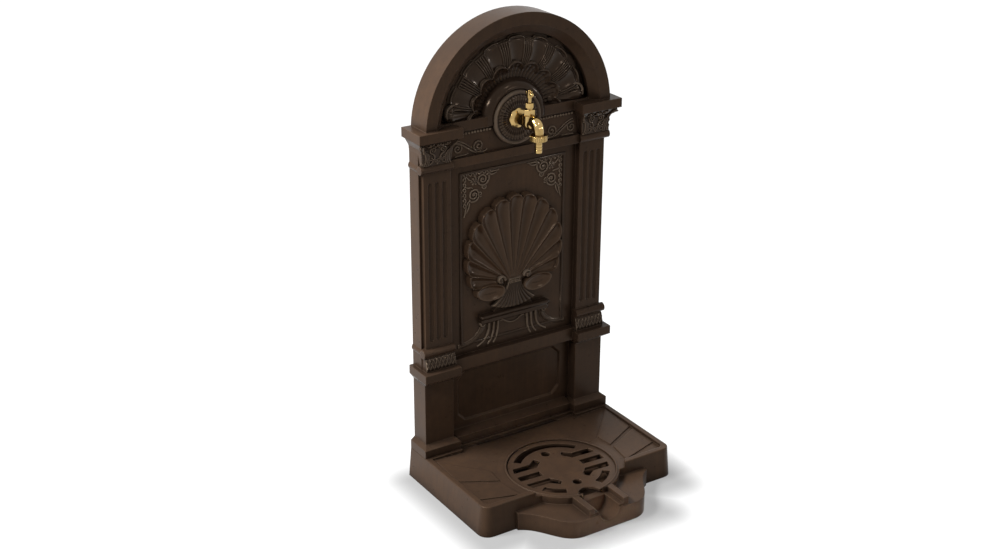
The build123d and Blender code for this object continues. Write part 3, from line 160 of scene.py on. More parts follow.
# %% Floor
FLOOR_SCATTER = (0.42, 0.38, 0.34, 1.0)
FLOOR_SHOWN = (0.16, 0.16, 0.16, 1.0)
sheet = bpy.data.meshes.new("floor")
sheet.from_pydata([(-12, -12, 0), (12, -12, 0), (12, 12, 0), (-12, 12, 0)], [], [(0, 1, 2, 3)])
floor = bpy.data.objects.new("floor", sheet)
scene.collection.objects.link(floor)
floor_finish = bpy.data.materials.new("floor_white")
floor_finish.use_nodes = True
floor_tree = floor_finish.node_tree
paint = floor_tree.nodes["Principled BSDF"]
paint.inputs["Roughness"].default_value = 0.9
paint.inputs["Specular IOR Level"].default_value = 0.0
shade = floor_tree.nodes.new("ShaderNodeMix")
shade.data_type = "RGBA"
shade.inputs[6].default_value = FLOOR_SCATTER
shade.inputs[7].default_value = FLOOR_SHOWN
floor_tree.links.new(shown_switch(floor_tree), shade.inputs[0])
floor_tree.links.new(shade.outputs[2], paint.inputs["Base Color"])
sheet.materials.append(floor_finish)
print("floor placed")

# %% [markdown]
# A floor that glows white all over would drown the shadow. So its glow is weaker near two rectangles,
# one under the tray and one under the apron, set a little to the left and front where the photograph's
# shadow lies. The weaker glow there is a painted shadow, and the lamps' own shadow shows in it too.

# %% Glow of the floor, with a painted shadow
GLOW_FADE = 0.08
PAINTED_SHADOW_GLOW = 0.35
spot = floor_tree.nodes.new("ShaderNodeTexCoord").outputs["Object"]


def floor_vector(operation, first, second=(0.0, 0.0, 0.0)):
    """Vector math on a vector of the floor and a constant."""
    node = floor_tree.nodes.new("ShaderNodeVectorMath")
    node.operation = operation
    floor_tree.links.new(first, node.inputs[0])
    if operation not in ("ABSOLUTE", "LENGTH"):
        node.inputs[1].default_value = second
    return node.outputs["Value" if operation == "LENGTH" else "Vector"]


def away_from(middle, half):
    """Distance to a rectangle on the floor: the length of what lies beyond its half sizes."""
    beyond = floor_vector("SUBTRACT", floor_vector("ABSOLUTE", floor_vector("SUBTRACT", spot, middle)), half)
    return floor_vector("LENGTH", floor_vector("MAXIMUM", beyond))


# The glow is weakest near the two rectangles: a painted shadow that darkens the floor there.
near = floor_tree.nodes.new("ShaderNodeMath")
near.operation = "MINIMUM"
floor_tree.links.new(away_from((-0.008, 0.018, 0.0), (0.2, 0.13, 1.0)), near.inputs[0])
floor_tree.links.new(away_from((-0.01, -0.124, 0.0), (0.12, 0.055, 1.0)), near.inputs[1])
glow = floor_tree.nodes.new("ShaderNodeMapRange")
glow.interpolation_type = "SMOOTHSTEP"
glow.inputs["From Max"].default_value = GLOW_FADE
glow.inputs["To Min"].default_value = PAINTED_SHADOW_GLOW
glow.inputs["To Max"].default_value = 1.0
floor_tree.links.new(near.outputs[0], glow.inputs["Value"])
lit = floor_tree.nodes.new("ShaderNodeMath")
lit.operation = "MULTIPLY"
floor_tree.links.new(glow.outputs["Result"], lit.inputs[0])
floor_tree.links.new(shown_switch(floor_tree), lit.inputs[1])
paint.inputs["Emission Color"].default_value = (1.0, 1.0, 1.0, 1.0)
floor_tree.links.new(lit.outputs[0], paint.inputs["Emission Strength"])
print("glow fades over", GLOW_FADE, "m")

# %% [markdown]
# ## Finishes
# The column and the tray are moulded resin in a satin chocolate brown. Its colour is cloudy and faintly
# brushed, the edges are rubbed to a warmer, paler tone, partly wear and partly painted highlight, and
# the hollows are darkened with painted shade. These are three node groups, because several finishes
# use them. First come helpers that make nodes.

# %% Helpers for node trees


def new_group(name, inputs, outputs):
    """Empty shader node group with float, colour and vector sockets given as (name, kind, value)."""
    group = bpy.data.node_groups.new(name, "ShaderNodeTree")
    for title, kind, value in inputs:
        socket = group.interface.new_socket(title, in_out="INPUT", socket_type="NodeSocket" + kind)
        if value is not None:
            socket.default_value = value
    for title, kind in outputs:
        group.interface.new_socket(title, in_out="OUTPUT", socket_type="NodeSocket" + kind)
    start = group.nodes.new("NodeGroupInput")
    end = group.nodes.new("NodeGroupOutput")
    return group, group.nodes, group.links, start, end


def math_node(tree, operation, a, b=None, clamp=False):
    """Math node on two sockets or numbers."""
    node = tree.nodes.new("ShaderNodeMath")
    node.operation = operation
    node.use_clamp = clamp
    for k, value in enumerate((a, b)):
        if value is None:
            continue
        if isinstance(value, (int, float)):
            node.inputs[k].default_value = value
        else:
            tree.links.new(value, node.inputs[k])
    return node.outputs[0]


def noise_node(tree, vector, scale, detail=4.0, roughness=0.55):
    """Noise texture on a vector; the pattern's size is 1 / scale metres."""
    node = tree.nodes.new("ShaderNodeTexNoise")
    node.inputs["Scale"].default_value = scale
    node.inputs["Detail"].default_value = detail
    node.inputs["Roughness"].default_value = roughness
    tree.links.new(vector, node.inputs["Vector"])
    return node


def mix_colour(tree, factor, a, b, blend="MIX"):
    """Mix of two colours, given as sockets or values."""
    node = tree.nodes.new("ShaderNodeMix")
    node.data_type = "RGBA"
    node.blend_type = blend
    for socket, value in ((node.inputs[0], factor), (node.inputs[6], a), (node.inputs[7], b)):
        if isinstance(value, (int, float, tuple)):
            socket.default_value = value
        else:
            tree.links.new(value, socket)
    return node.outputs[2]


print("node helpers ready")

# %% [markdown]
# The Bevel node gives the normal that a rounded edge would have. Where it departs from the true normal
# there is an edge, which makes the mask, and the same normal softens the sharp CAD edge. The resin
# paints its edges paler by this mask: partly wear, partly a painted highlight.

# %% Node group for rubbed edges and painted highlight
edge_group, gn, gl, start, end = new_group(
    "rubbed_and_highlit_edges",
    [("Radius", "Float", 0.0015), ("Gain", "Float", 2.0)],
    [("Mask", "Float"), ("Normal", "Vector")])
rounded = gn.new("ShaderNodeBevel")
rounded.samples = 4
gl.new(start.outputs["Radius"], rounded.inputs["Radius"])
true_normal = gn.new("ShaderNodeNewGeometry")
turned = gn.new("ShaderNodeVectorMath")
turned.operation = "DOT_PRODUCT"
gl.new(rounded.outputs["Normal"], turned.inputs[0])
gl.new(true_normal.outputs["Normal"], turned.inputs[1])
# This mask paints edges paler: partly wear, partly painted highlight.
swerve = math_node(edge_group, "SUBTRACT", 1.0, turned.outputs["Value"], clamp=True)
gl.new(math_node(edge_group, "MULTIPLY", swerve, start.outputs["Gain"], clamp=True), end.inputs["Mask"])
gl.new(rounded.outputs["Normal"], end.inputs["Normal"])
print("node group", edge_group.name)

# %% [markdown]
# Hollows are darkened where little of the sky is seen, which is painted shade. The Ambient Occlusion node
# measures that.

# %% Node group for painted shade in hollows
shade_group, gn, gl, start, end = new_group(
    "painted_shade_in_hollows",
    [("Distance", "Float", 0.02), ("Gain", "Float", 1.6)],
    [("Mask", "Float")])
open_sky = gn.new("ShaderNodeAmbientOcclusion")
open_sky.samples = 8
gl.new(start.outputs["Distance"], open_sky.inputs["Distance"])
shut = math_node(shade_group, "SUBTRACT", 1.0, open_sky.outputs["AO"], clamp=True)
gl.new(math_node(shade_group, "MULTIPLY", shut, start.outputs["Gain"], clamp=True), end.inputs["Mask"])
print("node group", shade_group.name)

# %% [markdown]
# The cloudy colour drifts between two browns. Large and small noise make the clouds, noise stretched
# along the height makes brush streaks, and fine noise gives the grain and the change of gloss.

# %% Node group for cloudy resin
cloud_group, gn, gl, start, end = new_group(
    "cloudy_resin",
    [("Base", "Color", (0.1, 0.07, 0.05, 1.0)), ("Warm", "Color", (0.16, 0.09, 0.05, 1.0)),
     ("Amount", "Float", 0.5)],
    [("Color", "Color"), ("Height", "Float"), ("Gloss", "Float")])
place = gn.new("ShaderNodeTexCoord").outputs["Object"]
big = noise_node(cloud_group, place, 9.0, 5.0)
small = noise_node(cloud_group, place, 60.0, 5.0, 0.65)
grain = noise_node(cloud_group, place, 900.0, 2.0)
pulled = gn.new("ShaderNodeVectorMath")
pulled.operation = "MULTIPLY"
pulled.inputs[1].default_value = (160.0, 160.0, 9.0)
gl.new(place, pulled.inputs[0])
brushed = noise_node(cloud_group, pulled.outputs["Vector"], 1.0, 3.0, 0.6)
mottle = math_node(cloud_group, "ADD", math_node(cloud_group, "MULTIPLY", small.outputs["Fac"], 0.5),
                   math_node(cloud_group, "MULTIPLY", brushed.outputs["Fac"], 0.5))
drift = math_node(cloud_group, "MULTIPLY", big.outputs["Fac"], mottle)
ramp = gn.new("ShaderNodeMapRange")
ramp.inputs["From Min"].default_value = 0.16
ramp.inputs["From Max"].default_value = 0.42
gl.new(drift, ramp.inputs["Value"])
warmth = math_node(cloud_group, "MULTIPLY", ramp.outputs["Result"], start.outputs["Amount"], clamp=True)
gl.new(mix_colour(cloud_group, warmth, start.outputs["Base"], start.outputs["Warm"]), end.inputs["Color"])
fine = math_node(cloud_group, "MULTIPLY", grain.outputs["Fac"], 0.35)
gl.new(math_node(cloud_group, "ADD", fine, math_node(cloud_group, "MULTIPLY", small.outputs["Fac"], 0.65)),
       end.inputs["Height"])
gl.new(small.outputs["Fac"], end.inputs["Gloss"])
print("node group", cloud_group.name)

# %% [markdown]
# Each finish is a Principled BSDF in its own material, and the groups feed its colour, roughness and
# normal. Two helpers place a group in a material and start a new material.

# %% Helpers for finishes


def place_group(tree, group, **values):
    """Node group in a material, with some inputs set by name."""
    node = tree.nodes.new("ShaderNodeGroup")
    node.node_tree = group
    for title, value in values.items():
        node.inputs[title].default_value = value
    return node


def new_finish(name, roughness, metallic=0.0):
    """Material with its tree and its Principled BSDF."""
    finish = bpy.data.materials.new(name)
    finish.use_nodes = True
    shader = finish.node_tree.nodes["Principled BSDF"]
    shader.inputs["Roughness"].default_value = roughness
    shader.inputs["Metallic"].default_value = metallic
    return finish, finish.node_tree, shader


print("finish helpers ready")

# %% [markdown]
# Carved pieces carry two values per vertex: how far a point stands out of its surroundings, which is
# rubbed pale, partly as wear and partly as painted highlight, and how deep it lies, which is darkened as
# painted shade. Their ground is a darker brown than the column's, painted shade on the same resin, with
# a higher gloss, and the shell's ground is a lighter brown, painted light. A weak, warm specular keeps
# the white studio from greying the resin.

# %% Moulded resin
WARM_SHINE = (1.0, 0.74, 0.55, 1.0)


def resin(name, base, warm, rub_and_highlight_tone, shine, carved=False):
    """Cloudy satin resin with edges rubbed paler, partly wear and partly painted highlight, and hollows
    darkened with painted shade; carved pieces take the rub and the shade from their vertex values.
    """
    finish, tree, shader = new_finish(name, 0.4)
    cloud = place_group(tree, cloud_group, Base=base, Warm=warm, Amount=0.55)
    if carved:
        raised = tree.nodes.new("ShaderNodeAttribute")
        raised.attribute_name = "raised"
        hollow = tree.nodes.new("ShaderNodeAttribute")
        hollow.attribute_name = "hollow"
        occlusion = place_group(tree, shade_group, Distance=0.004, Gain=0.9)
        deep = math_node(tree, "MAXIMUM", occlusion.outputs["Mask"], hollow.outputs["Fac"])
        rub_and_highlight = raised.outputs["Fac"]
    else:
        edge = place_group(tree, edge_group, Radius=0.0022, Gain=2.2)
        occlusion = place_group(tree, shade_group, Distance=0.02, Gain=1.5)
        deep = occlusion.outputs["Mask"]
        rub_and_highlight = edge.outputs["Mask"]
    # Hollows darken towards a third of the base colour, which is painted shade; edges and crests turn paler,
    # partly wear and partly painted highlight.
    resin_shade_tone = tuple(0.3 * v for v in base[:3]) + (1.0,)
    dark = mix_colour(tree, math_node(tree, "MULTIPLY", deep, 0.85), cloud.outputs["Color"], resin_shade_tone)
    colour = mix_colour(tree, math_node(tree, "MULTIPLY", rub_and_highlight, 0.7 if carved else 0.55), dark, rub_and_highlight_tone)
    shader.inputs["Specular IOR Level"].default_value = shine
    shader.inputs["Specular Tint"].default_value = WARM_SHINE
    tree.links.new(colour, shader.inputs["Base Color"])
    gloss = tree.nodes.new("ShaderNodeMapRange")
    gloss.inputs["To Min"].default_value = 0.1 if carved else 0.2
    gloss.inputs["To Max"].default_value = 0.22 if carved else 0.42
    tree.links.new(cloud.outputs["Gloss"], gloss.inputs["Value"])
    tree.links.new(gloss.outputs["Result"], shader.inputs["Roughness"])
    bump = tree.nodes.new("ShaderNodeBump")
    bump.inputs["Strength"].default_value = 0.25
    bump.inputs["Distance"].default_value = 0.0004
    tree.links.new(cloud.outputs["Height"], bump.inputs["Height"])
    if not carved:
        tree.links.new(edge.outputs["Normal"], bump.inputs["Normal"])
    tree.links.new(bump.outputs["Normal"], shader.inputs["Normal"])
    return finish


BROWN = (0.044, 0.027, 0.018, 1.0)
WARM_BROWN = (0.085, 0.047, 0.026, 1.0)
RUB_AND_HIGHLIGHT = (0.15, 0.098, 0.066, 1.0)
# The carved ground's darker brown is painted shade, and the shell's lighter brown is painted light, both on
# the column's resin.
SHADED_BROWN = (0.024, 0.0145, 0.0095, 1.0)
LIT_SHELL_BROWN = (0.06, 0.037, 0.024, 1.0)
POLISH_AND_HIGHLIGHT = (0.25, 0.19, 0.14, 1.0)
resin_plain = resin("brown_resin", BROWN, WARM_BROWN, RUB_AND_HIGHLIGHT, 0.12)
resin_carved = resin("brown_resin_carved", SHADED_BROWN, BROWN, POLISH_AND_HIGHLIGHT, 0.18, carved=True)
resin_shell = resin("brown_resin_shell", LIT_SHELL_BROWN, WARM_BROWN, POLISH_AND_HIGHLIGHT, 0.16, carved=True)
for name in ("column_shell", "base_tray", "drain_grate", "rear_cover"):
    nodes[name].data.materials.clear()
    nodes[name].data.materials.append(resin_plain)
print("resin on the column, tray, grate and cover")

# %% [markdown]
# The tap is polished brass: warm, slightly uneven from the buffing wheel, and darkened in its corners
# with painted shade. Rubber, plated steel and plain pipe finish the pieces that hide inside.

# %% Brass, steel, rubber and pipe


def metal(name, colour, dull, rough_low, rough_high, scale):
    """Buffed metal: clouds shift the colour and set the roughness, and hollows are darkened with painted
    shade.
    """
    finish, tree, shader = new_finish(name, rough_low, 1.0)
    cloud = place_group(tree, cloud_group, Base=colour, Warm=dull, Amount=0.6)
    edge = place_group(tree, edge_group, Radius=0.0006, Gain=1.5)
    occlusion = place_group(tree, shade_group, Distance=0.007, Gain=1.2)
    # Hollows darken towards a sixth of the colour: painted shade.
    metal_shade_tone = tuple(0.16 * v for v in colour[:3]) + (1.0,)
    deep = math_node(tree, "MULTIPLY", occlusion.outputs["Mask"], 0.7)
    tree.links.new(mix_colour(tree, deep, cloud.outputs["Color"], metal_shade_tone), shader.inputs["Base Color"])
    spread = tree.nodes.new("ShaderNodeMapRange")
    spread.inputs["To Min"].default_value = rough_low
    spread.inputs["To Max"].default_value = rough_high
    tree.links.new(cloud.outputs["Gloss"], spread.inputs["Value"])
    tree.links.new(spread.outputs["Result"], shader.inputs["Roughness"])
    bump = tree.nodes.new("ShaderNodeBump")
    bump.inputs["Strength"].default_value = 0.12
    bump.inputs["Distance"].default_value = scale
    tree.links.new(cloud.outputs["Height"], bump.inputs["Height"])
    tree.links.new(edge.outputs["Normal"], bump.inputs["Normal"])
    tree.links.new(bump.outputs["Normal"], shader.inputs["Normal"])
    return finish


def dull_stuff(name, colour, tint, roughness):
    """Plain matt stuff such as rubber or pipe, with a faint cloudiness."""
    finish, tree, shader = new_finish(name, roughness)
    cloud = place_group(tree, cloud_group, Base=colour, Warm=tint, Amount=0.5)
    tree.links.new(cloud.outputs["Color"], shader.inputs["Base Color"])
    bump = tree.nodes.new("ShaderNodeBump")
    bump.inputs["Strength"].default_value = 0.15
    bump.inputs["Distance"].default_value = 0.0003
    tree.links.new(cloud.outputs["Height"], bump.inputs["Height"])
    tree.links.new(bump.outputs["Normal"], shader.inputs["Normal"])
    return finish


BRASS = (0.5, 0.345, 0.14, 1.0)
DULL_BRASS = (0.27, 0.175, 0.06, 1.0)
brass = metal("polished_brass", BRASS, DULL_BRASS, 0.08, 0.2, 0.0002)
steel = metal("plated_steel", (0.55, 0.55, 0.57, 1.0), (0.42, 0.42, 0.44, 1.0), 0.28, 0.45, 0.0002)
rubber = dull_stuff("black_rubber", (0.03, 0.03, 0.03, 1.0), (0.05, 0.05, 0.05, 1.0), 0.75)
pipe_stuff = dull_stuff("pale_pipe", (0.7, 0.7, 0.67, 1.0), (0.6, 0.59, 0.55, 1.0), 0.4)
slot_finish = {"brass": brass, "steel": steel, "rubber": rubber, "pipe": pipe_stuff}
for row in frame["record"]["subparts"]:
    if row["material_slot"] in slot_finish:
        mesh = nodes[row["node"]].data
        mesh.materials.clear()
        mesh.materials.append(slot_finish[row["material_slot"]])
print("finishes", [m.name for m in bpy.data.materials])

# %% [markdown]
# ## Carving
# The ornament is carved as surfaces over a grid of two parameters. Sizes are in millimetres as in the
# CAD: x across, z up and depth forward of the column's flat back. Each surface starts a little below
# the face that carries it, so no edge hangs in the air.

# %% Surfaces over a grid
SUNK = -0.8


def soften(values, rounds):
    """Grid in which each value is averaged half and half with its four neighbours, several times."""
    for _ in range(rounds):
        edge = np.pad(values, 1, mode="edge")
        around = edge[:-2, 1:-1] + edge[2:, 1:-1] + edge[1:-1, :-2] + edge[1:-1, 2:]
        values = values / 2 + around / 8
    return values


def front(x, z, depth):
    """Points in metres from x, level and depth forward of the back, in millimetres."""
    return np.stack(np.broadcast_arrays(x, BACK - depth, z), axis=-1) / 1000.0


def grid_piece(name, points, relief, keep=None, sharp=0.7, rounds=14, wrap=False, finish=resin_carved):
    """Quads between neighbours of a grid of points, as one mesh that rides on the fountain.

    The relief is each point's height in millimetres. What stands above its smoothed surroundings is
    marked raised, what lies below them hollow, both from 0 to 1. Quads outside the kept points are
    left out. Where the quads' areas, added up, would look backwards, all are turned round."""
    rows, columns = relief.shape
    index = np.arange(rows * columns).reshape(rows, columns)
    keep = np.ones(relief.shape, bool) if keep is None else keep
    if wrap:
        index = np.concatenate([index, index[:, :1]], axis=1)
        keep = np.concatenate([keep, keep[:, :1]], axis=1)
    quads = np.stack([index[:-1, :-1], index[:-1, 1:], index[1:, 1:], index[1:, :-1]], axis=-1)
    shown = keep[:-1, :-1] | keep[:-1, 1:] | keep[1:, 1:] | keep[1:, :-1]
    quads = quads[shown]
    first, second, third = (points.reshape(-1, 3)[quads[:, k]] for k in range(3))
    if np.cross(second - first, third - first)[:, 1].sum() > 0:
        quads = quads[:, ::-1]
    used, corner = np.unique(quads, return_inverse=True)
    mesh = bpy.data.meshes.new(name)
    mesh.from_pydata(points.reshape(-1, 3)[used].tolist(), [], corner.reshape(-1, 4).tolist())
    mesh.polygons.foreach_set("use_smooth", np.ones(len(mesh.polygons), bool))
    lift = (relief - soften(relief, rounds)) / sharp
    for title, value in (("raised", lift), ("hollow", -lift)):
        layer = mesh.attributes.new(title, "FLOAT", "POINT")
        layer.data.foreach_set("value", np.clip(value, 0, 1).reshape(-1)[used].astype(np.float32))
    piece = bpy.data.objects.new(name, mesh)
    scene.collection.objects.link(piece)
    mesh.materials.append(finish)
    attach(piece, BODY)
    return piece


# %% [markdown]
# Scrolls, reeds and leaves are rounded strokes on a height grid. A stroke follows a path of points,
# and where strokes cross, the higher one shows.

# %% Strokes on a height grid


def relief_grid(x0, x1, z0, z1, pitch=0.6):
    """Two axes and a height grid over a rectangle, sunk under the face that carries it."""
    xs = np.arange(x0, x1 + pitch / 2, pitch)
    zs = np.arange(z0, z1 + pitch / 2, pitch)
    return xs, zs, np.full((len(zs), len(xs)), SUNK)


def stroke(grid, path, width, rise, lift=0.0):
    """Rounded stroke: the rise times the root of one minus the squared distance to the path over the
    half width, plus a lift. Widths, rises and lifts may change along the path."""
    xs, zs, height = grid
    path = np.asarray(path, float)
    width = np.broadcast_to(width, len(path))
    rise = np.broadcast_to(rise, len(path))
    reach = width.max()
    i0, i1 = np.searchsorted(xs, [path[:, 0].min() - reach, path[:, 0].max() + reach])
    j0, j1 = np.searchsorted(zs, [path[:, 1].min() - reach, path[:, 1].max() + reach])
    if i1 <= i0 or j1 <= j0:
        return
    away = (xs[i0:i1, None] - path[:, 0]) ** 2 + ((zs[j0:j1, None] - path[:, 1]) ** 2)[:, None]
    inside = 1 - away / width ** 2
    dome = np.where(inside > 0, rise * np.sqrt(np.clip(inside, 0, None)) + lift, SUNK).max(axis=-1)
    height[j0:j1, i0:i1] = np.maximum(height[j0:j1, i0:i1], dome)


def bend(points, count=48):
    """Smooth curve: the Bezier curve of its control points, sampled evenly in its parameter."""
    points = np.asarray(points, float)
    t = np.linspace(0, 1, count)[:, None]
    while len(points.shape) < 3:
        points = np.repeat(points[:, None], count, axis=1)
    while len(points) > 1:
        points = points[:-1] * (1 - t) + points[1:] * t
    return points[0]


def curl(x, z, radius, start, turns, end=0.15, count=72):
    """Spiral from its outer end: the angle runs over some turns while the radius shrinks evenly."""
    t = np.linspace(0, 1, count)
    angle = np.radians(start) + 2 * np.pi * turns * t
    r = radius * (1 - (1 - end) * t)
    return np.stack([x + r * np.cos(angle), z + r * np.sin(angle)], axis=1)


def taper(first, last, count=48):
    """Even change from one value to another along a stroke."""
    return np.linspace(first, last, count)


def front_relief(name, grid, depth, **marks):
    """Piece from a height grid on a face that looks forward; the depth may change with the level."""
    xs, zs, height = grid
    face = np.broadcast_to(np.asarray(depth, float), len(zs))[:, None]
    return grid_piece(name, front(xs[None, :], zs[:, None], face + height), height,
                      keep=height > SUNK + 0.05, **marks)


print("carving tools ready")

# %% [markdown]
# ## Scallop shell
# Thirteen hollow lobes spread from a hub. A lobe's angle grows a little faster towards the ears, and
# its reach falls from the top to the sides. Thin ridges stand between the hollows, each hollow ends
# in a round cove, and a wall with some draft leads down to the panel.

# %% Bowl of the scallop
PANEL = 26.0
HUB_Z = 360.0


def lobe_turn(k):
    """Angle from upright in radians: 11.2 degrees a lobe, and half a degree times the lobe squared."""
    return np.radians(11.2 * k + 0.5 * k * np.abs(k))


def lobe_reach(turn):
    """Distance from the hub: 89 mm to the side, 66 mm more at the top, shorter below the level."""
    lean = np.cos(turn)
    return 89.0 + 66.0 * np.clip(lean, 0, None) ** 1.4 + 75.0 * np.clip(lean, None, 0)


s = np.linspace(-6.5, 6.5, 13 * 24 + 1)
u = 2 * (s - np.clip(np.round(s), -6, 6))
turn = lobe_turn(s)
reach = lobe_reach(turn)
edge_r = reach + 1.6 - (0.06 * reach + 2.0) * (1 - np.sqrt(np.clip(1 - u ** 2, 0, None)))
tip = np.stack([edge_r * np.sin(turn), edge_r * np.cos(turn)])
root = np.stack([16.0 * np.sin(turn * 0.9), -4.0 + 3.0 * np.cos(turn)])
t = np.concatenate([np.linspace(0.0, 0.8, 36), np.linspace(0.8, 1.0, 26)[1:]])[:, None]
cove = np.where(t < 0.84, (t / 0.84) ** 0.75, np.sqrt(np.clip(1 - ((t - 0.84) / 0.16) ** 2, 0, None)))
crest = 7.2 + 4.4 * t ** 2.2
bowl = crest - 8.2 * cove * (1 - np.abs(u) ** 2.4)
across = root[0] + (tip[0] - root[0]) * t
upward = root[1] + (tip[1] - root[1]) * t
draft = np.array([0.9, 1.6, 2.3, 3.4, 4.4])[:, None] / edge_r
wall = np.array([11.5, 11.0, 9.6, 4.0, SUNK])[:, None] + 0 * s
across = np.concatenate([across, tip[0] * (1 + draft)])
upward = np.concatenate([upward, tip[1] * (1 + draft)])
relief = np.concatenate([bowl, 0 * wall + bowl[-1]])
grid_piece("scallop_bowl", front(across, HUB_Z + upward, PANEL + np.concatenate([bowl, wall])),
           relief, sharp=5.0, rounds=10, finish=resin_shell)
print("scallop lobes", 13, "points", relief.size)

# %% [markdown]
# Below the lobes lie two smooth ears. An ear is an oval dish with a rounded lip: across it the height
# falls from the lip to the floor, and outside the lip it drops to the panel. The deepest point lies
# above the middle, and the lip is rubbed a little paler all round, partly wear and partly painted
# highlight.

# %% Ears of the scallop
ring = np.linspace(0, 2 * np.pi, 97)[:-1]
out = np.array([0.0, 0.12, 0.24, 0.36, 0.48, 0.58, 0.68, 0.76, 0.83, 0.89, 0.94, 0.98, 1.02, 1.06, 1.1,
                1.16])[:, None]
dish = np.where(out < 0.94, 5.6 + 5.0 * (out / 0.94) ** 2.6,
                np.interp(out, [0.94, 0.98, 1.02, 1.06, 1.1, 1.16], [10.6, 11.0, 10.6, 9.0, 6.0, SUNK]))
dish = dish + 0 * ring
for side, title in ((-1, "left"), (1, "right")):
    long = 29.0 * np.cos(ring) * out
    high = np.where(np.sin(ring) > 0, 13.5, 16.0) * np.sin(ring) * out + 6.0 * np.clip(1 - out, 0, None)
    tilt = 0.1
    ear = grid_piece("scallop_ear_" + title,
                     front(side * (50.0 + long * np.cos(tilt) - high * np.sin(tilt)),
                           342.5 + long * np.sin(tilt) + high * np.cos(tilt), PANEL + dish),
                     dish, sharp=16.0, rounds=2, wrap=True, finish=resin_shell)
    # The lip is painted paler all round: partly wear, partly painted highlight.
    lip_rub_and_highlight = 0.22 * np.exp(-((out - 0.97) / 0.07) ** 2) + 0 * ring
    ear.data.attributes["raised"].data.foreach_set("value", lip_rub_and_highlight.astype(np.float32).reshape(-1))
print("ears made")

# %% [markdown]
# The tail under the hub is a sheaf of reeds. Each reed starts upright and sweeps outwards, the outer
# ones most. Two curls with a pearl sit on the roots of the side lobes.

# %% Tail and curls of the scallop
v = np.linspace(-1, 1, 11 * 14 + 1)
fall = np.linspace(0, 1, 60)[:, None]
reed = np.sqrt(np.clip(1 - (2 * ((v + 1) * 5.5 % 1) - 1) ** 2, 0, None))
sheaf_rise = 6.6 + 2.6 * (1 - fall) ** 2 + (1.2 + 1.6 * fall) * reed
foot = np.sqrt(np.clip(1 - np.clip((fall - 0.92) / 0.08, 0, 1) ** 2, 0, None))
sheaf_rise = np.where(foot > 0, sheaf_rise * (0.45 + 0.55 * foot), SUNK)
sheaf_rise[:, [0, -1]] = SUNK
sheaf_x = v * (12.0 + 3.0 * fall + 32.0 * fall ** (1.7 + 0.5 * np.abs(v)))
sheaf_z = 359.0 - fall * (57.5 - 11.0 * v ** 2)
grid_piece("scallop_tail", front(sheaf_x, sheaf_z, PANEL + sheaf_rise), sheaf_rise, sharp=1.0, rounds=8)

hub = relief_grid(-48, 48, 344, 374, 0.5)
for side in (-1, 1):
    stroke(hub, curl(28 * side, 360, 8.0, 180 if side > 0 else 0, -0.8 * side, 0.35), 2.4, 4.2, 7.0)
    stroke(hub, [(29 * side, 360.5)], 4.4, 5.2, 7.0)
pleats = np.linspace(-9, 9, 7)
for x in pleats:
    stroke(hub, [(x * 1.15, 352.0), (x, 355.0), (x * 1.1, 358.5)], 1.5, 2.4, 9.5)
front_relief("scallop_curls", hub, PANEL, sharp=1.2)
print("tail and curls made")

# %% [markdown]
# The console is a moulded shelf with rolled ends. Reeds and a broad band sweep down from it to the
# frame, and a wavy line hangs below its middle.

# %% Console and its reeds
nose = np.array([(26.0, 300.4), (38.6, 300.4), (40.4, 299.6), (41.0, 297.6), (40.4, 295.4), (39.2, 294.2),
                 (38.6, 292.0), (38.9, 289.8), (39.6, 288.0), (39.4, 286.0), (38.4, 285.2), (26.0, 285.2)])
inset = np.array([0.0, 0.0, 0.4, 0.8, 0.4, -0.4, -1.2, -1.2, -1.0, -1.2, -1.4, -1.4])
ends = np.concatenate([[-1.0], np.linspace(-1, 1, 41), [1.0]])
half = 71.8 + inset[:, None]
cap = np.ones(43)
cap[[0, -1]] = 0.0
shelf_depth = PANEL + (nose[:, :1] - PANEL) * cap
grid_piece("console_shelf", front(half * ends, nose[:, 1:] + 0 * ends, shelf_depth),
           shelf_depth * 0, sharp=6.0, rounds=2)

reeds = relief_grid(-118, 118, 236, 290, 0.6)
for side in (-1, 1):
    for top, low, wide in ((31, 40, 2.6), (40, 52, 2.6), (50, 73.5, 2.8)):
        path = bend([(side * top, 287), (side * top, 264), (side * (top + 1), 250), (side * low, 239)])
        stroke(reeds, path, taper(wide, 1.9), taper(4.4, 2.4))
    for lane in np.linspace(-3.6, 3.6, 5):
        path = bend([(side * (62 + lane), 287), (side * (63 + lane), 262 + lane), (side * 80, 247.5 + lane),
                     (side * 113, 246.5 + 0.7 * lane)])
        stroke(reeds, path, 2.6, taper(4.2, 2.6) - 0.12 * lane ** 2)
    stroke(reeds, curl(side * 65, 282.0, 5.0, 90, -1.4 * side, 0.2), 1.9, 4.6, 3.0)
drip = bend([(-25, 278), (-14, 280), (-16, 271), (0, 262), (16, 271), (14, 280), (25, 278)], 80)
stroke(reeds, drip, 1.5, 2.2)
front_relief("console_reeds", reeds, PANEL)
print("console made")

# %% [markdown]
# A half-round bead frames the panel. Its profile runs round the rectangle, and the four corners are
# mitred by scaling the profile's distance from the middle.

# %% Bead round the panel
lap = np.linspace(0, np.pi, 11)[:, None]
offset = 2.6 * np.cos(lap)
bead_rise = np.where(np.sin(lap) > 0.05, 2.6 * np.sin(lap), SUNK)
corner_x = np.array([-1.0, 1.0, 1.0, -1.0])
corner_z = np.array([-1.0, -1.0, 1.0, 1.0])
bead_x = corner_x * (108.0 + offset)
bead_z = 410.5 + corner_z * (161.5 + offset)
grid_piece("panel_bead", front(bead_x, bead_z, PANEL + bead_rise), bead_rise + 0 * bead_x,
           sharp=4.0, rounds=1, wrap=True)
print("panel bead made")

# %% [markdown]
# ## Corner scrolls
# A triangle of leaf scrolls fills each upper corner of the panel: two volutes, a small flower between
# them, curls along the slanted side and leaf tips at both ends. Places are given from the corner, in
# and down.

# %% Corner scrolls


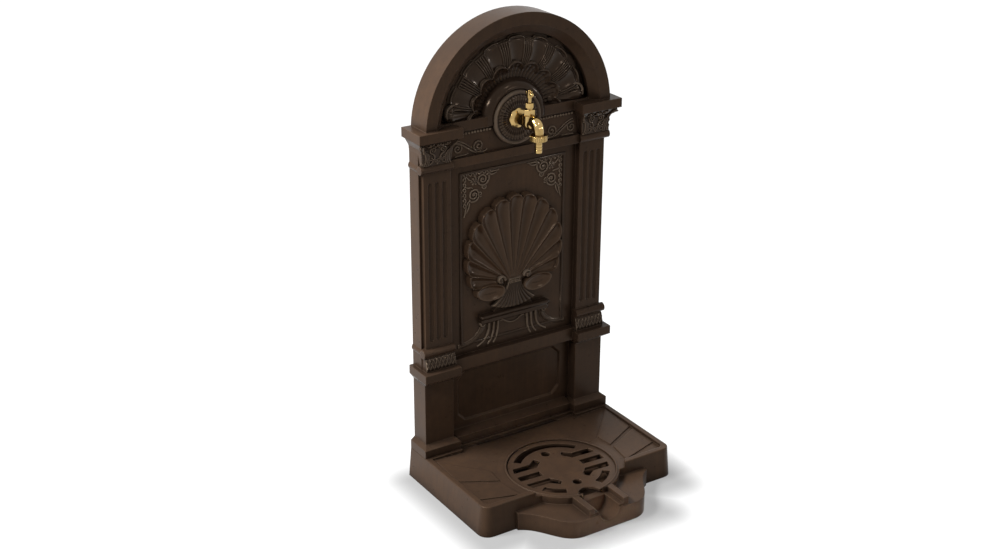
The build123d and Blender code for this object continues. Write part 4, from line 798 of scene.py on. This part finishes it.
def corner_scrolls(title, side):
    """Scrolls in one corner; a point lies its first number inwards and its second down from the corner."""
    grid = relief_grid(*sorted((side * 106.5, side * 26.0)), 492, 574, 0.5)

    def spot(points):
        """Places on the panel: the side times what is left of its half width, and down from its top."""
        points = np.asarray(points, float).reshape(-1, 2)
        return np.stack([side * (106.0 - points[:, 0]), 573.0 - points[:, 1]], axis=1)

    def scroll(a, b, radius, start, turns, wide=1.7, rise=2.6, end=0.2):
        """Spiral stroke about a place, a little narrower at its inner end."""
        stroke(grid, spot(curl(a, b, radius, start, turns, end)), taper(wide, wide * 0.8, 72), rise)

    def line(points, wide, rise=2.4):
        """Stroke along a smooth curve."""
        stroke(grid, spot(bend(points)), wide, rise)

    scroll(43, 17, 10.0, 140, 1.35)
    scroll(25, 43, 10.0, -50, -1.35)
    stroke(grid, spot([(43, 17)]), 2.8, 3.4)
    stroke(grid, spot([(25, 43)]), 2.8, 3.4)
    petals = np.radians(np.arange(6) * 60.0)
    for a in petals:
        reach = np.array([3.4, 5.6])[:, None]
        stroke(grid, spot([26, 18] + reach * [np.cos(a), np.sin(a)]), 2.2, 2.6)
    stroke(grid, spot([(26, 18)]), 2.4, 3.6)
    line([(35, 24), (46, 34), (58, 24), (56, 12)], taper(1.3, 2.0))
    line([(31, 35), (42, 46), (30, 60), (18, 54)], taper(1.3, 2.0))
    scroll(47, 31, 5.0, 200, -1.1, 1.5, 2.2)
    scroll(38, 43, 5.0, 70, 1.1, 1.5, 2.2)
    line([(52, 10), (60, 3), (66, 8), (76, 5)], taper(2.0, 0.9))
    line([(56, 9), (63, 14), (68, 10), (71, 9)], taper(1.6, 0.8))
    line([(17, 52), (6, 60), (10, 68), (5, 80)], taper(2.0, 0.9))
    line([(16, 57), (15, 66), (11, 70), (10, 73)], taper(1.6, 0.8))
    for a in np.arange(8.0, 56.0, 9.5):
        scroll(a, 5.0, 4.2, 200, 0.9, 1.4, 2.2, 0.25)
        scroll(5.0, a + 4.0, 4.2, 70, -0.9, 1.4, 2.2, 0.25)
    line([(6, 6), (12, 8), (14, 14), (20, 16)], taper(1.8, 1.1))
    line([(8, 26), (14, 30), (20, 26), (22, 30)], taper(1.6, 1.0))
    line([(26, 8), (31, 13), (30, 20), (34, 22)], taper(1.6, 1.0))
    front_relief("corner_scrolls_" + title, grid, PANEL, sharp=0.7)


corner_scrolls("left", -1)
corner_scrolls("right", 1)
print("corner scrolls made")

# %% [markdown]
# ## Fan under the arch
# Seven smooth lobes spread round the tap, and a bundle of fine ridges lies between each two. Inside
# them a ruffled edge curls forward round a dark hollow, and a rosette of fine petals carries the tap.

# %% Fan
FAN_Z = 662.0
RIB_STEP = 22.2


def about_tap(angle, radius, depth, middle=FAN_Z):
    """Points on a circle about the tap's axis; the angle in degrees is taken from upright."""
    return front(radius * np.sin(np.radians(angle)), middle + radius * np.cos(np.radians(angle)), depth)


def smooth_step(low, high, value):
    """Even rise from 0 to 1 between two limits, with flat ends."""
    t = np.clip((value - low) / (high - low), 0, 1)
    return t * t * (3 - 2 * t)


angle = np.linspace(-76.0, 76.0, 913)
phase = angle / RIB_STEP - np.round(angle / RIB_STEP)
dish = np.clip(1 - (np.abs(phase) / 0.3) ** 2, 0, None)
bundle = smooth_step(0.26, 0.3, np.abs(phase))
fine = np.abs(np.sin(np.pi * (np.abs(phase) - 0.27) / 0.23 * 2.5)) ** 0.7
rim_r = 137.5 + 4.5 * np.sqrt(dish) - 1.5 * bundle
t = np.concatenate([np.linspace(0, 0.82, 40), np.linspace(0.82, 1.0, 22)[1:]])[:, None]
radius = 88.0 + (rim_r - 88.0) * t
swell = np.sin(np.pi * np.clip(t * 0.8 + 0.1, 0, 1))
lip = np.exp(-((t - 0.94) / 0.04) ** 2)
fold = np.exp(-((t - 0.87) / 0.035) ** 2)
roll_off = np.sqrt(np.clip(1 - np.clip((t - 0.945) / 0.055, 0, 1) ** 2, 0, None))
ridges = bundle * smooth_step(0.98, 0.86, t) * (2.8 * fine - 0.4)
fan_rise = 0.8 + 7.0 * swell - 3.4 * dish * swell + ridges + 3.4 * lip * (0.4 + dish) - 1.6 * fold * dish
fan_rise = np.where(t >= 1, -5.6, fan_rise * roll_off)
grid_piece("tympanum_fan", about_tap(angle, radius, 28.0 + fan_rise), fan_rise, sharp=0.9, rounds=8)
print("fan lobes", 7, "points", fan_rise.size)

# %% [markdown]
# The ruffle is one sheet. From the dark hollow it climbs over radial ridges to a wavy edge, which
# curls forward and turns back down to the fan.

# %% Ruffle
angle = np.linspace(-85.0, 85.0, 1021)
wave = 2 * np.abs(np.cos(np.pi * angle / RIB_STEP)) ** 0.8 - 1
ridge = np.abs(np.sin(np.pi * angle / RIB_STEP * 4))
rows = np.linspace(0, 1, 60)[:, None]
stations = [0, 0.2, 0.4, 0.55, 0.68, 0.78, 0.86, 0.92, 0.97, 1]
reach = np.interp(rows, stations, [62, 68, 75, 81, 85.5, 88.2, 90.2, 91.8, 93.2, 94.2])
climb = np.interp(rows, stations, [0, 0.3, 1.4, 3.8, 7.6, 11.2, 12.8, 11.6, 8.4, 3.0])
wavy = smooth_step(0.25, 0.75, rows)
ruffle_r = reach + (5.0 * wave - 1.0) * wavy
ruffle_rise = climb + 1.5 * ridge * (1 - smooth_step(0.6, 0.8, rows)) + 1.6 * wave * wavy * (climb > 2)
grid_piece("ruffle", about_tap(angle, ruffle_r, 22.6 + ruffle_rise), ruffle_rise, sharp=1.4, rounds=7)
print("ruffle points", ruffle_rise.size)

# %% [markdown]
# The rosette has a round rim, a smooth cove outside it and forty petals between the rim and the tap.
# Each petal is a rounded ridge, and its tip swells.

# %% Rosette
ROSE_Z = 660.0
angle = np.linspace(-180.0, 180.0, 1081)[:-1]
steps = np.array([17.0, 19.0, 21.5, 24.0, 27.0, 30.0, 33.0, 36.0, 37.5, 38.8, 39.8, 40.6, 41.5, 42.6,
                  43.8, 45.0, 46.2, 47.2, 48.0, 48.5])[:, None]
petal = np.abs(np.cos(np.pi * angle / 9.0)) ** 0.6
split = np.abs(np.cos(np.pi * angle / 4.5 + 0.6))
face = np.interp(steps, [17, 24, 32, 38, 40, 41, 43, 45, 47, 48.5],
                 [40.6, 40.4, 41.2, 41.0, 39.9, 41.4, 43.2, 43.4, 41.6, 31.0])
bloom = smooth_step(18, 24, steps) * (1 - smooth_step(38.5, 40.2, steps))
tips = np.exp(-((steps - 34.0) / 3.4) ** 2) + 0.6 * np.exp(-((steps - 25.0) / 2.5) ** 2)
rose_rise = face - 40.0 + bloom * (2.4 * (petal - 0.4) + 0.9 * tips * split)
grid_piece("rosette", about_tap(angle, steps, 40.0 + rose_rise, ROSE_Z), rose_rise,
           sharp=0.8, rounds=4, wrap=True)

upper = np.linspace(-97.0, 97.0, 195)
cove_r = np.array([47.5, 50.0, 53.0, 56.0, 59.0, 62.0, 64.5, 66.5, 67.5])[:, None]
cove_rise = np.array([37.5, 39.4, 39.2, 38.0, 35.8, 32.6, 28.8, 24.4, 20.0])[:, None] + 0 * upper
grid_piece("rosette_cove", about_tap(upper, cove_r, cove_rise, ROSE_Z + 1), cove_rise * 0,
           sharp=4.0, rounds=1)
print("rosette and cove made")

# %% [markdown]
# On the ledge, the last lobe of the fan rolls up at each end: a smooth belly under a few fine reeds,
# and a curled lip round a ball.

# %% Scroll lobes on the ledge
for side, title in ((-1, "left"), (1, "right")):
    grid = relief_grid(*sorted((side * 68.0, side * 143.0)), 668, 704, 0.5)
    belly = bend([(side * 76, 676.5), (side * 95, 677), (side * 115, 678), (side * 129, 679.5)])
    stroke(grid, belly, taper(5.5, 9.8), taper(1.5, 8.5), taper(-0.6, 3.0))
    for k in range(4):
        line = bend([(side * 76, 683.0 + 2.4 * k), (side * 100, 687.0 + 2.6 * k),
                     (side * (124 - k), 691.5 + 2.2 * k)])
        stroke(grid, line, taper(0.8, 1.5), taper(0.4, 1.8), taper(-0.6, 6.4))
    cup = bend([(side * 112, 696), (side * 124, 702), (side * 138, 700), (side * 141, 688),
                (side * 138, 679)], 60)
    stroke(grid, cup, 2.2, 2.6, taper(5.0, 8.0, 60))
    stroke(grid, [(side * 128, 690.5)], 5.2, 5.4, 4.0)
    front_relief("ledge_scroll_" + title, grid, 26.5, sharp=1.1)
print("ledge scrolls made")

# %% [markdown]
# ## Frieze, capitals and leaf bands
# On the frieze a pair of scrolls hangs on a slanting stem at each side of the tap, under a string of
# beads.

# %% Frieze scrolls and beads
FRIEZE = 32.0
for side, title in ((-1, "left"), (1, "right")):
    grid = relief_grid(*sorted((side * 50.0, side * 129.0)), 606, 643, 0.5)
    stroke(grid, curl(side * 75, 621, 11.5, 250 if side > 0 else 290, 1.6 * side, 0.12, 110), 1.6, 2.4)
    stroke(grid, curl(side * 117, 622, 10.0, 70 if side > 0 else 110, 1.5 * side, 0.12, 110), 1.5, 2.4)
    stem = bend([(side * 71, 610), (side * 88, 605), (side * 100, 628), (side * 121, 631.5)])
    stroke(grid, stem, 1.7, 2.5)
    stroke(grid, stem + np.array([side * -1.5, 4.5]), taper(0.6, 1.5), 2.0)
    leaf = bend([(side * 58, 612), (side * 63, 607.5), (side * 70, 608.5), (side * 78, 607.5)])
    stroke(grid, leaf, taper(0.8, 1.8), 2.0)
    sprig = bend([(side * 96, 610), (side * 103, 608), (side * 110, 610), (side * 121, 608)])
    stroke(grid, sprig, taper(0.8, 1.7), 2.0)
    front_relief("frieze_scroll_" + title, grid, FRIEZE, sharp=0.8)
    string = relief_grid(*sorted((side * 49.0, side * 122.0)), 642, 651, 0.5)
    for x in np.arange(52.0, 120.0, 6.0):
        stroke(string, [(side * x, 646.5)], 2.4, 2.6, 0.4)
    front_relief("bead_string_" + title, string, FRIEZE, sharp=0.8)
print("frieze made")

# %% [markdown]
# A capital's leaves follow its flared bell, so the height grid is laid on a face whose depth changes
# with the level. Ribbed leaves stand at its corners, two scrolls roll up between them, and small tufts
# fill the gaps. The ground keeps the carved pieces' darker brown, which is painted shade.

# %% Capitals


def bell_depth(z):
    """Face of the bell: straight tapers between its foot, its middle and the slab."""
    return np.interp(z, [605.0, 634.0, 650.5], [41.0, 44.0, 57.5])


def bell_side(z):
    """Outer side of the bell, as a half width."""
    return np.interp(z, [605.0, 634.0, 650.5], [190.0, 193.0, 202.0])


def bell_inner(z):
    """Inner side of the bell, as a distance from the column's middle."""
    return np.interp(z, [605.0, 634.0, 650.5], [135.0, 132.0, 126.0])


def tuft(grid, x, z, turns, long, width, rise):
    """Small leaf: short fat strokes that spread from one point at some angles from upright."""
    for turn in np.radians(turns):
        tip = (x + long * np.sin(turn), z + long * np.cos(turn))
        stroke(grid, bend([(x, z), (x + 0.4 * long * np.sin(turn * 0.4), z + 0.6 * long), tip], 16),
               taper(0.7 * width, width, 16), rise)


def capital_face(title, side):
    """Front face of one capital: a dark ground with leaves at the corners, two scrolls and small tufts."""
    low, high = sorted((side * 126.0, side * 201.0))
    grid = relief_grid(low, high, 604.5, 649.5, 0.5)
    xs, zs, height = grid
    inside = (np.abs(xs) > bell_inner(zs)[:, None] + 1) & (np.abs(xs) < bell_side(zs)[:, None] - 1)
    mid = side * 162.5
    for way in (-1, 1):
        for k, lane in enumerate((0.0, 4.2, 8.0)):
            rib = bend([(mid + way * (26 - lane), 606), (mid + way * (17 - 0.6 * lane), 619),
                        (mid + way * (25 - lane), 630), (mid + way * (33 - 0.8 * lane), 643 - 1.6 * lane)])
            stroke(grid, rib, taper(1.6, 2.3), taper(2.4, 4.6 - 0.4 * k))
        stroke(grid, curl(mid + way * 9.5, 633, 6.4, 270, 1.5 * way, 0.12), taper(2.0, 1.4, 72), 3.8)
        stem = bend([(mid + way * 17, 607), (mid + way * 5, 611), (mid + way * 2, 620),
                     (mid + way * 9.5, 626.6)])
        stroke(grid, stem, taper(1.4, 2.0), taper(2.2, 3.6))
        tuft(grid, mid + way * 9, 612, (-60, -15, 30, 70), 7.0, 1.9, 3.2)
        tuft(grid, mid + way * 16, 640, (-70, -25, 25), 5.5, 1.7, 3.6)
    tuft(grid, mid, 607, (-40, 0, 40), 7.0, 2.0, 3.0)
    tuft(grid, mid, 638, (-75, -38, 0, 38, 75), 7.5, 1.8, 4.0)
    height[:] = np.where(inside, np.maximum(height, 0.3), SUNK)
    front_relief("capital_" + title, grid, bell_depth(zs), sharp=0.8, rounds=10)


def capital_corner(title, side):
    """Leaf on a capital's front corner: a bent tongue that runs up the edge and rolls out at its tip."""
    t = np.linspace(0, 1, 40)[:, None]
    w = np.linspace(-1, 1, 25)
    level = 606.0 + 41.0 * t
    bulge = 1.8 + 3.4 * np.exp(-((t - 0.86) / 0.1) ** 2) + 1.4 * np.exp(-((t - 0.1) / 0.1) ** 2)
    wide = 7.0 - 3.0 * t
    rib = 1.0 - 0.8 * np.abs(w) ** 1.5 + 0.3 * np.cos(6 * np.pi * w) * np.cos(9 * np.pi * t)
    lift = bulge * rib - 0.9
    lift[:, [0, -1]] = SUNK
    turn_in = np.clip(w, 0, 1) * wide
    turn_side = np.clip(-w, 0, 1) * wide
    corner_x = bell_side(level) - turn_in + lift * (w <= 0) + 0.7 * lift * (w > 0) * (1 - w)
    corner_d = bell_depth(level) - turn_side + lift * (w >= 0) + 0.7 * lift * (w < 0) * (1 + w)
    grid_piece("capital_corner_" + title, front(side * corner_x, level + 0 * w, corner_d), lift, sharp=1.0)


for side, title in ((-1, "left"), (1, "right")):
    capital_face(title, side)
    capital_corner(title, side)
print("capitals made")

# %% [markdown]
# The band on a pilaster's foot is a rounded cushion with a braid: two zigzag strands that cross.

# %% Leaf bands


def leaf_band(title, side):
    """Cushion whose height is a root of one minus the squared level, with two crossing zigzags on it."""
    low, high = sorted((side * 130.5, side * 191.0))
    grid = relief_grid(low, high, 225, 250, 0.45)
    xs, zs, height = grid
    height[:] = 2.4 * np.sqrt(np.clip(1 - ((zs[:, None] - 237.0) / 11.5) ** 2, 0, None)) - 0.3 + 0 * xs
    path_x = np.linspace(low + 1.5, high - 1.5, 260)
    for shift in (0.0, 1.0):
        fold = np.abs(((path_x - low) / 7.6 + shift) % 2 - 1)
        level = 228.8 + 16.4 * fold
        cushion = 2.4 * np.sqrt(1 - ((level - 237.0) / 11.5) ** 2) - 0.3
        stroke(grid, np.stack([path_x, level], axis=1), 1.25, 1.5, cushion)
    for x in np.arange(low + 4.0, high - 2.0, 7.6):
        stroke(grid, [(x, 237.0)], 1.3, 1.2, 2.1)
    height[:, [0, -1]] = SUNK
    face = np.interp(zs, [224.0, 250.0], [46.0, 41.0])
    front_relief("leaf_band_" + title, grid, face, sharp=0.6, rounds=8)


leaf_band("left", -1)
leaf_band("right", 1)
print("leaf bands made")

# %% [markdown]
# ## Tap neck
# The casting of the tap runs from its chamber into the spout in one smooth sweep. The skin is a circle
# carried along a bent path: its radius grows a little out of the chamber's wall and then shrinks
# towards the outlet. It ends in the wall, so the valve inside the chamber stays free.

# %% Neck of the tap
sweep = bend([(85.0, 664.9), (79.0, 666.3), (67.5, 664.0), (66.0, 655.0), (66.0, 646.0)], 60)
heading = np.gradient(sweep, axis=0)
heading = heading / np.linalg.norm(heading, axis=1)[:, None]
girth = np.interp(np.linspace(0, 1, 60), [0, 0.04, 0.1, 0.3, 0.6, 0.9, 1.0],
                  [7.8, 9.4, 10.4, 10.4, 9.6, 8.8, 8.7])[:, None]
round_turn = np.linspace(0, 2 * np.pi, 49)[:-1]
neck = np.stack([girth * np.cos(round_turn),
                 sweep[:, :1] - girth * np.sin(round_turn) * heading[:, 1:],
                 sweep[:, 1:] + girth * np.sin(round_turn) * heading[:, :1]], axis=-1) / 1000.0
tap_neck = grid_piece("tap_neck", neck, 0 * girth + 0 * round_turn, wrap=True, finish=brass)
print("tap neck made")
